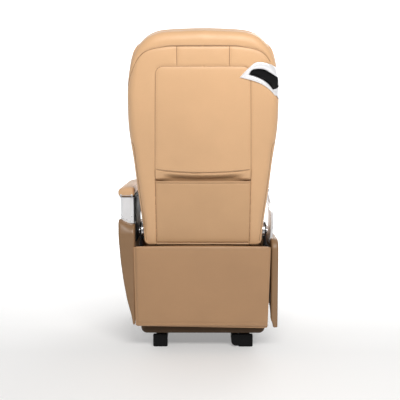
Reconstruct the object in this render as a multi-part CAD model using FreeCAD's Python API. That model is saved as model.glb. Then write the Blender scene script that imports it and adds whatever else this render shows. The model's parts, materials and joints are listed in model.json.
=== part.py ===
"""Powered spa chair: an upholstered reclining seat that slides on two floor rails, with a leg rest, a
wide console armrest on the sitter's left and a slim lifting armrest on the sitter's right.

Row frame: +Z up, floor at Z = 0, the sitter faces -Y and the sitter's left is +X. The origin is the
centre of the four floor bolts. The backrest is modelled in its own frame and then leaned back:
X across, "n" towards the rear and "t" up along the back, both measured from the recline pivot.
Node names say left and right as the sitter does. Units are millimetres.
"""
import FreeCAD
import Part
import math
import os

V = FreeCAD.Vector
PARTS = "parts"

# ---- driving dimensions -------------------------------------------------------------------------
RAIL_SPACING = 330.0          # centre to centre across the chair
RAIL_FRONT, RAIL_REAR = -220.0, 220.0
RAIL_WIDTH, RAIL_HEIGHT, RAIL_WALL = 44.0, 26.0, 4.0
BOLT_SPACING_Y = 360.0
BOLT_HOLE_R = 4.5
SLIDE_TRAVEL = 70.0           # each way from rest
SCREW_R = 6.0
RUNNING = 0.08                # radial clearance of every running fit

FOOT_WIDTH, FOOT_HEIGHT, FOOT_LENGTH = 56.0, 48.0, 14.0
FOOT_BOX_WIDTH = 27.0         # extra width of the drive box on the right rear foot

SKIRT_HALF, SKIRT_BOTTOM, SKIRT_TOP = 238.0, 58.0, 205.0
SKIRT_FRONT, SKIRT_REAR = -292.0, 262.0
SKIRT_ROLL, SKIRT_WALL = 30.0, 4.0

PANEL_REAR, PANEL_THICK = 295.0, 18.0
PANEL_TOP, PANEL_BOTTOM = 403.0, 98.0
PANEL_HALF_TOP, PANEL_HALF_BOTTOM = 254.0, 249.0

FRAME_HALF, FRAME_TUBE = 228.0, 28.0
FRAME_Z = 268.0               # underside of the seat frame
FRAME_FRONT, FRAME_REAR = -285.0, 250.0

CUSHION_HALF, BOLSTER_HALF = 190.0, 244.0
CUSHION_FRONT, CUSHION_REAR = -325.0, 116.0
CUSHION_BOTTOM, CUSHION_TOP, BOLSTER_TOP = 316.0, 456.0, 476.0

SHIELD_INNER, SHIELD_OUTER = 256.0, 282.0
SHIELD_TOP = 430.0
CONSOLE_TOP = 486.0           # top of the flared left shield

PIVOT_Y, PIVOT_Z = 190.0, 450.0
LEAN = 13.5                   # degrees that the back leans at rest
BACK_REAR, SHELL_FRONT, SHELL_WALL = 84.0, -18.0, 6.0
CUSHION_BACK, CUSHION_FACE, BOLSTER_FACE = -18.4, -66.0, -88.0
BACK_FRAME_R = 12.5
HEAD_T = 562.0                # height up the back where the head cushion starts
POCKET_T, SCOOP_T = 228.0, 262.0   # up the back: the pocket's straight top edge, the scoop's upper lip
POCKET_HALF, POCKET_DEEP = 172.0, 22.0
BOLSTER_FLARE = 9.0           # how far the bolsters stand out past the shell at the foot

LEG_PIVOT_Y, LEG_PIVOT_Z = -318.0, 296.0
LEG_HALF, LEG_TOP, LEG_BOTTOM = 214.0, 284.0, 92.0
LEG_FACE, LEG_BACK = -378.0, -318.0

LEFT_PAD = dict(inner=256.0, outer=319.0, rear=262.0, front=-112.0, bottom=588.0, top=628.0)
LEFT_HINGE_Y, LEFT_HINGE_Z = 257.0, 594.0
RIGHT_PAD = dict(inner=-242.0, outer=-200.0, front=-200.0)
RIGHT_HINGE_Y, RIGHT_HINGE_Z, RIGHT_PAD_R = 104.0, 602.0, 20.0

# Half-width of the back against height t, from the lower corner to the crown.
BACK_OUTLINE = [(221, 0), (230, 80), (242, 190), (252, 300), (264, 400), (267, 480), (263, 580),
                (247, 660), (222, 708), (176, 745), (110, 764)]
BACK_CROWN, BACK_FOOT = 770.0, -27.0


# ---- helpers ------------------------------------------------------------------------------------
def box(x0, x1, y0, y1, z0, z1):
    return Part.makeBox(abs(x1 - x0), abs(y1 - y0), abs(z1 - z0), V(min(x0, x1), min(y0, y1), min(z0, z1)))


def rod(x0, x1, y, z, r):
    """A round bar along X."""
    return Part.makeCylinder(r, abs(x1 - x0), V(min(x0, x1), y, z), V(1, 0, 0))


def bar_y(x, y0, y1, z, r):
    return Part.makeCylinder(r, abs(y1 - y0), V(x, min(y0, y1), z), V(0, 1, 0))


def post_z(x, y, z0, z1, r):
    return Part.makeCylinder(r, abs(z1 - z0), V(x, y, min(z0, z1)), V(0, 0, 1))


def rounded(shape, radius, pick):
    """The shape with the edges that pick accepts filleted."""
    edges = [e for e in shape.Edges if pick(e)]
    return shape.makeFillet(radius, edges)


def runs_along(axis, tol=1e-6):
    """Picks straight edges that run along one axis, 0 for X, 1 for Y, 2 for Z."""
    def pick(edge):
        if len(edge.Vertexes) != 2:
            return False
        d = edge.Vertexes[1].Point.sub(edge.Vertexes[0].Point)
        return all(abs(d[k]) < tol for k in range(3) if k != axis)
    return pick


def everything(edge):
    return True


def prism_x(points, x0, x1):
    """A closed outline of (y, z) points drawn from x0 to x1."""
    wire = Part.makePolygon([V(x0, y, z) for y, z in points + points[:1]])
    return Part.Face(wire).extrude(V(x1 - x0, 0, 0))


def prism_y(points, y0, y1):
    """A closed outline of (x, z) points drawn from y0 to y1."""
    wire = Part.makePolygon([V(x, y0, z) for x, z in points + points[:1]])
    return Part.Face(wire).extrude(V(0, y1 - y0, 0))


def arc(a, middle, b):
    return Part.Arc(a, middle, b).toShape()


def line(a, b):
    return Part.LineSegment(a, b).toShape()


def spline(points):
    curve = Part.BSplineCurve()
    curve.interpolate(points)
    return curve.toShape()


def joined(first, *others):
    for other in others:
        first = first.fuse(other)
    return first.removeSplitter()


def mirrored(shape):
    """The same piece on the other side of the chair."""
    return shape.mirror(V(0, 0, 0), V(1, 0, 0))


def group(*shapes):
    return Part.makeCompound(list(shapes))


def leaned(shape):
    """A piece drawn in the back's own frame, set on the pivot and leaned back."""
    placed = shape.copy()
    placed.Placement = FreeCAD.Placement(V(0, PIVOT_Y, PIVOT_Z), FreeCAD.Rotation(V(1, 0, 0), -LEAN))
    return placed


def write(name, shape):
    shape.exportStep(os.path.join(PARTS, name + ".step"))


# ---- base: floor rails --------------------------------------------------------------------------
def floor_rail(x):
    half = RAIL_WIDTH / 2
    rail = box(x - half, x + half, RAIL_FRONT, RAIL_REAR, 0, RAIL_HEIGHT)
    rail = rail.cut(box(x - half + RAIL_WALL, x + half - RAIL_WALL, RAIL_FRONT, RAIL_REAR,
                        RAIL_WALL, RAIL_HEIGHT - RAIL_WALL))
    slot_half = half - RAIL_WALL - 6
    rail = rail.cut(box(x - slot_half, x + slot_half, RAIL_FRONT, RAIL_REAR, RAIL_WALL, RAIL_HEIGHT))
    for y in (-BOLT_SPACING_Y / 2, BOLT_SPACING_Y / 2):
        rail = rail.cut(post_z(x, y, -1, RAIL_WALL + 1, BOLT_HOLE_R))
    return rail


def rail_foot(x, at_rear, box_side=0):
    """The black moulded cover that caps a rail's end; box_side adds a drive box on that side."""
    half = FOOT_WIDTH / 2
    y0 = RAIL_REAR if at_rear else RAIL_FRONT - FOOT_LENGTH
    foot = box(x - half, x + half, y0, y0 + FOOT_LENGTH, 0, FOOT_HEIGHT)
    foot = rounded(foot, 6, lambda e: runs_along(1)(e) and e.CenterOfMass.z < 1)
    foot = rounded(foot, 3, lambda e: runs_along(1)(e) and e.CenterOfMass.z > FOOT_HEIGHT - 1)
    if box_side:
        inner, far = x + box_side * half, x + box_side * (half + FOOT_BOX_WIDTH)
        low = box(inner - box_side * 4, far, y0 - 46, y0 + FOOT_LENGTH, 4, FOOT_HEIGHT)
        low = rounded(low, 18, lambda e: runs_along(1)(e) and e.CenterOfMass.z < 5
                      and abs(e.CenterOfMass.x - far) < 1)
        low = low.cut(box(inner - box_side * 4, inner + box_side * 0.3, y0 - 46.1, y0, 0, FOOT_HEIGHT + 1))
        foot = foot.fuse(low)
    return foot


def slide_screw(x):
    """The lead screw that lies in the rail, between its two end covers."""
    core = bar_y(x, RAIL_FRONT, RAIL_REAR, RAIL_HEIGHT / 2, SCREW_R)
    collars = [bar_y(x, y, y + 5, RAIL_HEIGHT / 2, SCREW_R + 2.5) for y in (RAIL_FRONT, RAIL_REAR - 5)]
    return joined(core, *collars)


def slider(x):
    """The upper rail: a T that runs inside the floor rail and carries the seat."""
    length = (RAIL_REAR - RAIL_FRONT) / 2 - SLIDE_TRAVEL - 10
    half = RAIL_WIDTH / 2 - RAIL_WALL - 1
    body = box(x - half, x + half, -length, length, RAIL_WALL + 1.5, RAIL_HEIGHT - RAIL_WALL - 1.5)
    neck = box(x - 9, x + 9, -length, length, RAIL_WALL + 1.5, 46)
    top = box(x - 22, x + 22, -length, length, 42, 50)
    whole = joined(body, neck, top)
    return whole.cut(bar_y(x, -length - 1, length + 1, RAIL_HEIGHT / 2, SCREW_R + RUNNING))


def build_base():
    x = RAIL_SPACING / 2
    write("floor_rail_left", floor_rail(x))
    write("floor_rail_right", floor_rail(-x))
    write("rear_foot_left", rail_foot(x, True))
    write("rear_foot_right", rail_foot(-x, True, box_side=1))
    write("front_feet", group(rail_foot(x, False), rail_foot(-x, False)))
    write("slide_screws", group(slide_screw(x), slide_screw(-x)))
    write("rail_sliders", group(slider(x), slider(-x)))


# ---- seat structure -----------------------------------------------------------------------------
LEG_HALF_WIDTH = 18.0
LEG_PLACES = (-120.0, 80.0)


def riser_legs():
    """Four sheet-metal legs that lift the seat frame off the sliders, with a cross tie at each pair."""
    legs = []
    for x in (RAIL_SPACING / 2, -RAIL_SPACING / 2):
        for y in LEG_PLACES:
            leg = box(x - LEG_HALF_WIDTH, x + LEG_HALF_WIDTH, y - 20, y + 20, 50, FRAME_Z)
            hollow = box(x - LEG_HALF_WIDTH + 3, x + LEG_HALF_WIDTH - 3, y - 17, y + 21, 53, FRAME_Z - 3)
            legs.append(leg.cut(hollow))
    return joined(*legs, *cross_ties())


def cross_ties():
    reach = RAIL_SPACING / 2 - LEG_HALF_WIDTH
    return [box(-reach, reach, y - 20, y - 14, 120, 160) for y in LEG_PLACES]


def seat_frame():
    out, tube = FRAME_HALF, FRAME_TUBE
    ring = box(-out, out, FRAME_FRONT, FRAME_REAR, FRAME_Z, FRAME_Z + tube)
    ring = rounded(ring, 14, lambda e: runs_along(2)(e))
    ring = ring.cut(box(-out + tube, out - tube, FRAME_FRONT + tube, FRAME_REAR - tube,
                        FRAME_Z - 1, FRAME_Z + tube + 1))
    middle = box(-out + tube, out - tube, 96, 96 + tube, FRAME_Z, FRAME_Z + tube)
    motor_shelf = box(-out + tube, out - tube, 124, 224, FRAME_Z, FRAME_Z + 5)
    return joined(ring, middle, motor_shelf)


SPRING_WIRE, SPRING_PITCH, SPRING_SWING = 2.0, 24.0, 34.0


def zigzag_spring(x):
    """One flat zigzag spring from the front tube to the middle tube."""
    z = FRAME_Z + FRAME_TUBE + SPRING_WIRE
    first, last = FRAME_FRONT + 20, 100.0
    count = int((last - first) / SPRING_PITCH)
    radius = SPRING_PITCH / 2
    side = SPRING_SWING / 2 - radius
    pieces = []
    y = first
    for k in range(count):
        s = 1 if k % 2 else -1
        pieces.append(line(V(x - s * side, y, z), V(x + s * side, y, z)))
        pieces.append(arc(V(x + s * side, y, z), V(x + s * (side + radius), y + radius, z),
                          V(x + s * side, y + 2 * radius, z)))
        y += 2 * radius
    path = Part.Wire(pieces)
    start = path.Edges[0].Vertexes[0].Point
    ring = Part.Wire(Part.makeCircle(SPRING_WIRE, start, V(1, 0, 0)))
    return path.makePipeShell([ring], True, True)


def seat_springs():
    return group(*[zigzag_spring(x) for x in (-120, -60, 0, 60, 120)])


def base_skirt():
    """The lower tray: a shallow tub with rolled lower edges that hides the risers."""
    outer = box(-SKIRT_HALF, SKIRT_HALF, SKIRT_FRONT, SKIRT_REAR, SKIRT_BOTTOM, SKIRT_TOP)
    outer = rounded(outer, 24, runs_along(2))
    outer = rounded(outer, 22, lambda e: abs(e.CenterOfMass.z - SKIRT_BOTTOM) < 0.5)
    w = SKIRT_WALL
    inner = box(-SKIRT_HALF + w, SKIRT_HALF - w, SKIRT_FRONT + w, SKIRT_REAR - w, SKIRT_BOTTOM + w, SKIRT_TOP + 5)
    inner = rounded(inner, 20, runs_along(2))
    inner = rounded(inner, 18, lambda e: abs(e.CenterOfMass.z - SKIRT_BOTTOM - w) < 0.5)
    tray = outer.cut(inner)
    for x in (RAIL_SPACING / 2, -RAIL_SPACING / 2):
        for y in LEG_PLACES:
            tray = tray.cut(box(x - LEG_HALF_WIDTH - 2, x + LEG_HALF_WIDTH + 2, y - 22, y + 23,
                                SKIRT_BOTTOM - 1, SKIRT_BOTTOM + w + 1))
    return tray


def rear_panel():
    """The large padded board that closes the back of the seat base."""
    corners = [(-PANEL_HALF_BOTTOM, PANEL_BOTTOM), (PANEL_HALF_BOTTOM, PANEL_BOTTOM),
               (PANEL_HALF_TOP, PANEL_TOP), (-PANEL_HALF_TOP, PANEL_TOP)]
    board = prism_y(corners, PANEL_REAR - PANEL_THICK, PANEL_REAR)
    board = rounded(board, 8, lambda e: runs_along(0)(e) and e.CenterOfMass.y > PANEL_REAR - 1)
    return board


def panel_brackets():
    """Four angle brackets that hold the rear panel to the seat frame, with their screws' heads."""
    brackets = []
    for x in (-190, 190):
        for z in (FRAME_Z + 6, 130.0):
            face = PANEL_REAR - PANEL_THICK
            reach = FRAME_REAR if z > FRAME_Z else SKIRT_REAR
            brackets.append(joined(box(x - 15, x + 15, face - 3, face, z - 12, z + 16),
                                   box(x - 15, x + 15, reach, face - 3, z - 2, z + 1)))
    return group(*brackets)


def front_apron():
    """The board under the cushion's front edge, behind the leg rest."""
    board = box(-SKIRT_HALF, SKIRT_HALF, SKIRT_FRONT - 1, SKIRT_FRONT + 7, SKIRT_TOP + 2, 262)
    return rounded(board, 3, runs_along(0))


def seat_cushion():
    pad = box(-CUSHION_HALF, CUSHION_HALF, CUSHION_FRONT, CUSHION_REAR, CUSHION_BOTTOM, CUSHION_TOP)
    pad = rounded(pad, 30, lambda e: runs_along(0)(e) and e.CenterOfMass.y < CUSHION_FRONT + 1)
    return pad


def seat_bolster():
    pad = box(CUSHION_HALF + 0.5, BOLSTER_HALF, CUSHION_FRONT, CUSHION_REAR, CUSHION_BOTTOM, BOLSTER_TOP)
    pad = rounded(pad, 24, lambda e: runs_along(0)(e) and e.CenterOfMass.y < CUSHION_FRONT + 1)
    pad = rounded(pad, 14, lambda e: runs_along(1)(e) and e.CenterOfMass.z > BOLSTER_TOP - 1)
    return pad


def cushion_deck():
    """The plywood deck that the cushion sits on, above the springs."""
    return box(-222, 222, -295, 112, CUSHION_BOTTOM - 12.2, CUSHION_BOTTOM - 0.2)


# Side shields: one outline from the side, cut to a flat slab on the right and a flare on the left.
def shield_outline(x0, x1, top, front_top):
    rear, tip, radius = 286.0, 84.0, 44.0
    edges = [
        line(V(x0, rear, tip), V(x0, rear, top - radius)),
        arc(V(x0, rear, top - radius), V(x0, rear - radius * 0.293, top - radius * 0.293),
            V(x0, rear - radius, top)),
        line(V(x0, rear - radius, top), V(x0, -210, front_top)),
        arc(V(x0, -210, front_top), V(x0, -285, front_top - 36), V(x0, -296, front_top - 100)),
        line(V(x0, -296, front_top - 100), V(x0, -276, 262)),
        arc(V(x0, -276, 262), V(x0, -20, 196), V(x0, 225, 156)),
        arc(V(x0, 225, 156), V(x0, 262, 128), V(x0, 274, tip)),
        line(V(x0, 274, tip), V(x0, rear, tip)),
    ]
    return Part.Face(Part.Wire(edges)).extrude(V(x1 - x0, 0, 0))


def shield_right():
    slab = shield_outline(-SHIELD_OUTER, -SHIELD_INNER, SHIELD_TOP, SHIELD_TOP - 12)
    slab = slab.cut(shield_hollow(-SHIELD_OUTER + 5, -SHIELD_INNER + 1, SHIELD_TOP - 24))
    return slab.cut(box(-270, -SHIELD_INNER + 1, 124, 240, SHIELD_TOP - 40, SHIELD_TOP + 1))


def shield_hollow(x0, x1, top):
    """The room inside a shield's moulded shell, open towards the seat."""
    corners = [(262, 175), (262, top - 18), (236, top - 4), (-190, top - 16), (-262, top - 70), (-250, 290), (0, 220)]
    return prism_x(corners, x0, x1)


FLARE = [(262, 80), (270, 135), (286, 196), (299, 269), (309, 346), (315, 422), (319, 500)]


def flared_slab(inset):
    """The left shield's cross-section across the chair, drawn along the chair."""
    inner = SHIELD_INNER + inset
    edges = [line(V(inner, -320, 80), V(FLARE[0][0] - inset, -320, 80)),
             spline([V(x - inset, -320, z) for x, z in FLARE]),
             line(V(FLARE[-1][0] - inset, -320, 500), V(inner, -320, 500)),
             line(V(inner, -320, 500), V(inner, -320, 80))]
    return Part.Face(Part.Wire(edges)).extrude(V(0, 640, 0))


SWITCH_Y, SWITCH_Z, SWITCH_FACE = -120.0, 372.0, 315.0


def shield_left():
    outline = shield_outline(SHIELD_INNER - 1, 330, CONSOLE_TOP, SHIELD_TOP + 6)
    body = flared_slab(0).common(outline)
    body = body.cut(flared_slab(5).common(shield_hollow(SHIELD_INNER - 2, 330, CONSOLE_TOP - 34)))
    opening = box(SHIELD_INNER - 2, SHIELD_INNER + 6, -230, 240, 300, 410)
    body = body.cut(opening)
    return body.cut(box(290, 330, SWITCH_Y - 62, SWITCH_Y + 62, SWITCH_Z - 24, SWITCH_Z + 24))


def switch_pod():
    pod = box(296, SWITCH_FACE, SWITCH_Y - 61, SWITCH_Y + 61, SWITCH_Z - 23, SWITCH_Z + 23)
    pod = rounded(pod, 3, lambda e: abs(e.CenterOfMass.x - SWITCH_FACE) < 0.1)
    for y in SWITCH_PLACES:
        pod = pod.cut(box(302, SWITCH_FACE + 5, SWITCH_Y + y - 15.4, SWITCH_Y + y + 15.4,
                          SWITCH_Z - 15.4, SWITCH_Z + 15.4))
    return pod


SWITCH_PLACES = (-38.0, 0.0, 38.0)
SWITCH_TRAVEL = 2.0


def switch_button(y):
    key = box(305, SWITCH_FACE + 2.5, SWITCH_Y + y - 15, SWITCH_Y + y + 15, SWITCH_Z - 15, SWITCH_Z + 15)
    return rounded(key, 2, lambda e: abs(e.CenterOfMass.x - SWITCH_FACE - 2.5) < 0.1)


def screw_caps():
    """Round push-in plugs over the shields' fixing screws."""
    caps = [rod(-SHIELD_OUTER - 2.5, -SHIELD_OUTER, 250, 330, 9), rod(-SHIELD_OUTER - 2.5, -SHIELD_OUTER, -210, 330, 9)]
    left = [rod(305, 311.5, 250, 345, 9), rod(305, 311.5, -210, 345, 9)]
    body = flared_slab(0)
    caps += [cap.cut(body) for cap in left]
    return group(*caps)


def build_seat():
    write("riser_legs", riser_legs())
    write("seat_frame", seat_frame())
    write("seat_springs", seat_springs())
    write("cushion_deck", cushion_deck())
    write("base_skirt", base_skirt())
    write("rear_panel", rear_panel())
    write("panel_brackets", panel_brackets())
    write("front_apron", front_apron())
    write("seat_cushion", seat_cushion())
    bolster = seat_bolster()
    write("seat_bolster_left", bolster)
    write("seat_bolster_right", mirrored(bolster))
    write("side_shield_right", shield_right())
    write("side_shield_left", shield_left())
    write("shield_screw_caps", screw_caps())
    write("switch_pod", switch_pod())
    for name, y in zip(("slide", "recline", "leg_rest"), SWITCH_PLACES):
        write("switch_" + name, switch_button(y))


# ---- recline mechanism --------------------------------------------------------------------------
BRACKET_IN, BRACKET_OUT = 236.0, 241.0
SHAFT_R = 9.0


def recliner_bracket():
    """The fixed plate at the seat's side that carries the recline gear."""
    y, z = PIVOT_Y, PIVOT_Z
    corners = [(y - 60, FRAME_Z + 4), (y + 50, FRAME_Z + 4), (y + 30, z), (y - 30, z)]
    plate = prism_x(corners, BRACKET_IN, BRACKET_OUT).fuse(rod(BRACKET_IN, BRACKET_OUT, y, z, 34))
    plate = joined(plate, box(FRAME_HALF, BRACKET_OUT, y - 60, y + 50, FRAME_Z + 2, FRAME_Z + 26))
    return plate.cut(rod(BRACKET_IN - 1, BRACKET_OUT + 1, y, z, SHAFT_R + RUNNING))


def recliner_gear():
    """The round gear housing between the fixed plate and the back's arm."""
    disc = rod(226, BRACKET_IN - 0.1, PIVOT_Y, PIVOT_Z, 32)
    disc = rounded(disc, 2, lambda e: abs(e.CenterOfMass.x - 226) < 0.1)
    return disc.cut(rod(225, BRACKET_IN + 1, PIVOT_Y, PIVOT_Z, SHAFT_R + RUNNING))


def recline_shaft():
    """The cross shaft that turns with the back and ties both gears together."""
    return joined(rod(-244, 244, PIVOT_Y, PIVOT_Z, SHAFT_R),
                  rod(-247, -242, PIVOT_Y, PIVOT_Z, 12), rod(242, 247, PIVOT_Y, PIVOT_Z, 12))


def recline_motor():
    """Gear motor on the seat frame's rear tube."""
    shelf = FRAME_Z + 5
    can = rod(60, 170, 186, shelf + 27, 22)
    gearbox = box(172, 196, 156, 218, shelf + 4, shelf + 54)
    foot = box(80, 196, 170, 214, shelf, shelf + 6)
    return joined(can, rod(168, 174, 186, shelf + 27, 16), gearbox, foot)


def build_recliner():
    plate, disc = recliner_bracket(), recliner_gear()
    write("recliner_bracket_left", plate)
    write("recliner_bracket_right", mirrored(plate))
    write("recliner_gear_left", disc)
    write("recliner_gear_right", mirrored(disc))
    write("recline_shaft", recline_shaft())
    write("recline_motor", recline_motor())


# ---- backrest, drawn in its own frame -----------------------------------------------------------
def outline_wire(inset, n, flare=0.0):
    """The back's outline as a closed wire at depth n, drawn in by inset; flare widens its foot."""
    def at(index):
        x, t = BACK_OUTLINE[index]
        x0, t0 = BACK_OUTLINE[max(index - 1, 0)]
        x1, t1 = BACK_OUTLINE[min(index + 1, len(BACK_OUTLINE) - 1)]
        length = math.hypot(x1 - x0, t1 - t0)
        wider = flare * max(0.0, 1.0 - t / 400.0)
        return x + wider - inset * (t1 - t0) / length, t + inset * (x1 - x0) / length
    side = [at(k) for k in range(len(BACK_OUTLINE))]
    foot, crown, corner = BACK_FOOT + inset, BACK_CROWN - inset, 22.0
    low_x = side[0][0]
    right = [V(x, n, t) for x, t in side]
    left = [V(-x, n, t) for x, t in reversed(side)]
    curve = spline(right + [V(0, n, crown)] + left)
    c = math.cos(math.pi / 4)
    return Part.Wire([
        line(V(-(low_x - corner), n, foot), V(low_x - corner, n, foot)),
        arc(V(low_x - corner, n, foot), V(low_x - corner + corner * c, n, foot + corner * (1 - c)),
            V(low_x, n, foot + corner)),
        line(V(low_x, n, foot + corner), right[0]),
        curve,
        line(left[-1], V(-low_x, n, foot + corner)),
        arc(V(-low_x, n, foot + corner), V(-(low_x - corner) - corner * c, n, foot + corner * (1 - c)),
            V(-(low_x - corner), n, foot)),
    ])


def back_slab(inset, n0, n1, flare=0.0):
    return Part.Face(outline_wire(inset, n0, flare)).extrude(V(0, n1 - n0, 0))


# The silver bezel on the sitter's right shoulder: an eye-shaped ring and its black insert.
BEZEL_LOW = [(-126, 604), (-155, 597), (-182, 589), (-209, 577), (-232, 560), (-252, 538), (-261, 524)]
BEZEL_HIGH = [(-261, 524), (-264, 570), (-259, 622), (-242, 642), (-219, 652), (-196, 656), (-175, 652), (-146, 626), (-126, 604)]
EYE_LOW = [(-158, 613), (-182, 606), (-208, 594), (-227, 580), (-242, 562)]
EYE_HIGH = [(-242, 562), (-254, 590), (-246, 606), (-226, 622), (-206, 631), (-178, 632), (-166, 626), (-158, 613)]
BEZEL_FACE, BEZEL_BACK, INSERT_FACE = 86.0, 30.0, 78.0


def eye_prism(low, high, n0, n1, grow=0.0):
    """The closed outline of two curves that meet in two points, grown about its middle."""
    cx = sum(x for x, _ in low) / len(low)
    ct = sum(t for _, t in high) / len(high)

    def place(p):
        dx, dt = p[0] - cx, p[1] - ct
        length = math.hypot(dx, dt)
        return V(p[0] + grow * dx / length, n0, p[1] + grow * dt / length)
    wire = Part.Wire([spline([place(p) for p in low]), spline([place(p) for p in high])])
    return Part.Face(wire).extrude(V(0, n1 - n0, 0))


def shoulder_bezel():
    ring = eye_prism(BEZEL_LOW, BEZEL_HIGH, BEZEL_BACK, BEZEL_FACE)
    return ring.cut(eye_prism(EYE_LOW, EYE_HIGH, BEZEL_BACK - 1, BEZEL_FACE + 1))


def shoulder_insert():
    cup = eye_prism(EYE_LOW, EYE_HIGH, BEZEL_BACK + 4, INSERT_FACE, grow=-1.2)
    cup = cup.cut(shoulder_bezel())
    return cup.cut(eye_prism(EYE_LOW, EYE_HIGH, BEZEL_BACK + 14, INSERT_FACE + 1, grow=-6))


def back_shell():
    """The moulded, leather-covered rear dish, open at the front, with the pocket's recess in its rear."""
    shell = back_slab(0, SHELL_FRONT, BACK_REAR)
    shell = shell.cut(back_slab(SHELL_WALL, SHELL_FRONT - 1, BACK_REAR - SHELL_WALL))
    shell = shell.cut(eye_prism(BEZEL_LOW, BEZEL_HIGH, BEZEL_BACK - 0.4, BEZEL_FACE + 4, grow=0.4))
    for x0, x1 in ((-300, -190), (190, 300)):
        shell = shell.cut(rod(x0, x1, 0, 0, SHAFT_R + 4))
        shell = shell.cut(box(x0, x1, SHELL_FRONT - 1, 0, -(SHAFT_R + 4), SHAFT_R + 4))
    floor = BACK_REAR - POCKET_DEEP
    low = BACK_FOOT + 21
    tray = box(-POCKET_HALF - 4, POCKET_HALF + 4, floor - 4, BACK_REAR - 1, low - 4, SCOOP_T + 4)
    recess = box(-POCKET_HALF, POCKET_HALF, floor, BACK_REAR + 1, low, SCOOP_T)
    return shell.fuse(tray).cut(recess).removeSplitter()


def back_pocket():
    """The stitched lower panel that closes the recess; its straight top edge is the pocket's mouth."""
    low = BACK_FOOT + 21
    panel = box(-POCKET_HALF, POCKET_HALF, BACK_REAR - 4, BACK_REAR, low, POCKET_T)
    hem = bar_x_round(POCKET_HALF, BACK_REAR - 2, POCKET_T)
    return panel.fuse(hem).removeSplitter()


def bar_x_round(half, n, t):
    """The rolled hem along the pocket's top edge."""
    return rod(-half, half, n, t, 2)


def tube_run(points, r):
    """A round tube through points, with mitred corners filled by balls."""
    solid = None
    for a, b in zip(points, points[1:]):
        d = b.sub(a)
        piece = Part.makeCylinder(r, d.Length, a, d)
        solid = piece if solid is None else solid.fuse(piece)
    for p in points[1:-1]:
        solid = solid.fuse(Part.makeSphere(r, p))
    return solid


def back_frame():
    """Bent tube hoop with two cross bars and the two arms that reach the recline shaft."""
    r = BACK_FRAME_R
    hoop = [V(-196, 6, -6), V(-212, 6, 300), V(-218, 6, 560), V(-170, 6, 690), V(170, 6, 690), V(218, 6, 560),
            V(212, 6, 300), V(196, 6, -6)]
    frame = tube_run(hoop, r)
    for t in (90, 330, 560):
        frame = frame.fuse(rod(-205, 205, 6, t, 8))
    for x in (-206, 198):
        frame = frame.fuse(rod(x, x + 8, 0, 0, 19))
    room = back_slab(SHELL_WALL + 0.4, -40, BACK_REAR - SHELL_WALL - 0.4)
    return frame.common(room).cut(rod(-230, 230, 0, 0, SHAFT_R)).removeSplitter()


def lumbar_wires():
    return group(*[rod(-206, 206, 6 - BACK_FRAME_R - 2, t, 2) for t in (150, 200, 250, 400, 450, 500)])


def plain_pad(t0, t1, half, n0, n1, radius):
    """A plain block for one of the soft pads on the front of the back."""
    pad = box(-half, half, n0, n1, t0, t1)
    return rounded(pad, radius, lambda e: abs(e.CenterOfMass.y - n0) < 0.1)


def front_pads():
    """Soft pads on the front of the back: lumbar, shoulder, head, and a bolster on each side."""
    body = back_slab(4, BOLSTER_FACE - 1, CUSHION_BACK)
    lumbar = plain_pad(8, 268, 158, CUSHION_FACE - 6, CUSHION_BACK, 16)
    upper = plain_pad(269, HEAD_T - 1, 158, CUSHION_FACE, CUSHION_BACK, 16)
    wide = back_slab(4, BOLSTER_FACE - 1, CUSHION_BACK, BOLSTER_FLARE)
    head = body.common(box(-300, 300, CUSHION_FACE - 8, CUSHION_BACK, HEAD_T, 740))
    side = wide.common(box(159, 300, BOLSTER_FACE, CUSHION_BACK, 36, HEAD_T - 1))
    return lumbar, upper, head, side


def build_back():
    write("back_shell", leaned(back_shell()))
    write("back_pocket", leaned(back_pocket()))
    write("back_frame", leaned(back_frame()))
    write("lumbar_wires", leaned(lumbar_wires()))
    lumbar, upper, head, side = front_pads()
    write("lumbar_cushion", leaned(lumbar))
    write("shoulder_cushion", leaned(upper))
    write("head_cushion", leaned(head))
    write("back_bolster_left", leaned(side))
    write("back_bolster_right", leaned(mirrored(side)))
    write("shoulder_bezel", leaned(shoulder_bezel()))
    write("shoulder_insert", leaned(shoulder_insert()))


# ---- leg rest -----------------------------------------------------------------------------------
def leg_pad():
    pad = box(-LEG_HALF, LEG_HALF, LEG_FACE, LEG_BACK - 12, LEG_BOTTOM, LEG_TOP)
    return rounded(pad, 14, lambda e: abs(e.CenterOfMass.y - LEG_FACE) < 0.1)


def leg_board():
    return box(-LEG_HALF + 6, LEG_HALF - 6, LEG_BACK - 11.8, LEG_BACK - 2, LEG_BOTTOM + 6, LEG_TOP - 4)


def leg_shaft():
    return rod(-206, 206, LEG_PIVOT_Y, LEG_PIVOT_Z, SHAFT_R)


def leg_arms():
    arms = []
    for x in (-150, 142):
        arm = prism_x([(LEG_PIVOT_Y - 14, LEG_PIVOT_Z), (LEG_PIVOT_Y + 14, LEG_PIVOT_Z),
                       (LEG_BACK + 6, 150), (LEG_BACK - 1.8, 150)], x, x + 8)
        arm = joined(arm, rod(x, x + 8, LEG_PIVOT_Y, LEG_PIVOT_Z, 15))
        arm = arm.cut(box(x - 1, x + 9, LEG_BACK - 40, LEG_BACK - 1.9, LEG_BOTTOM, LEG_TOP - 3.9))
        arm = arm.cut(box(x - 1, x + 9, LEG_BACK - 40, LEG_BACK - 11.7, LEG_BOTTOM, LEG_TOP + 0.3))
        arms.append(arm.cut(rod(x - 1, x + 9, LEG_PIVOT_Y, LEG_PIVOT_Z, SHAFT_R)))
    return group(*arms)


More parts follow.
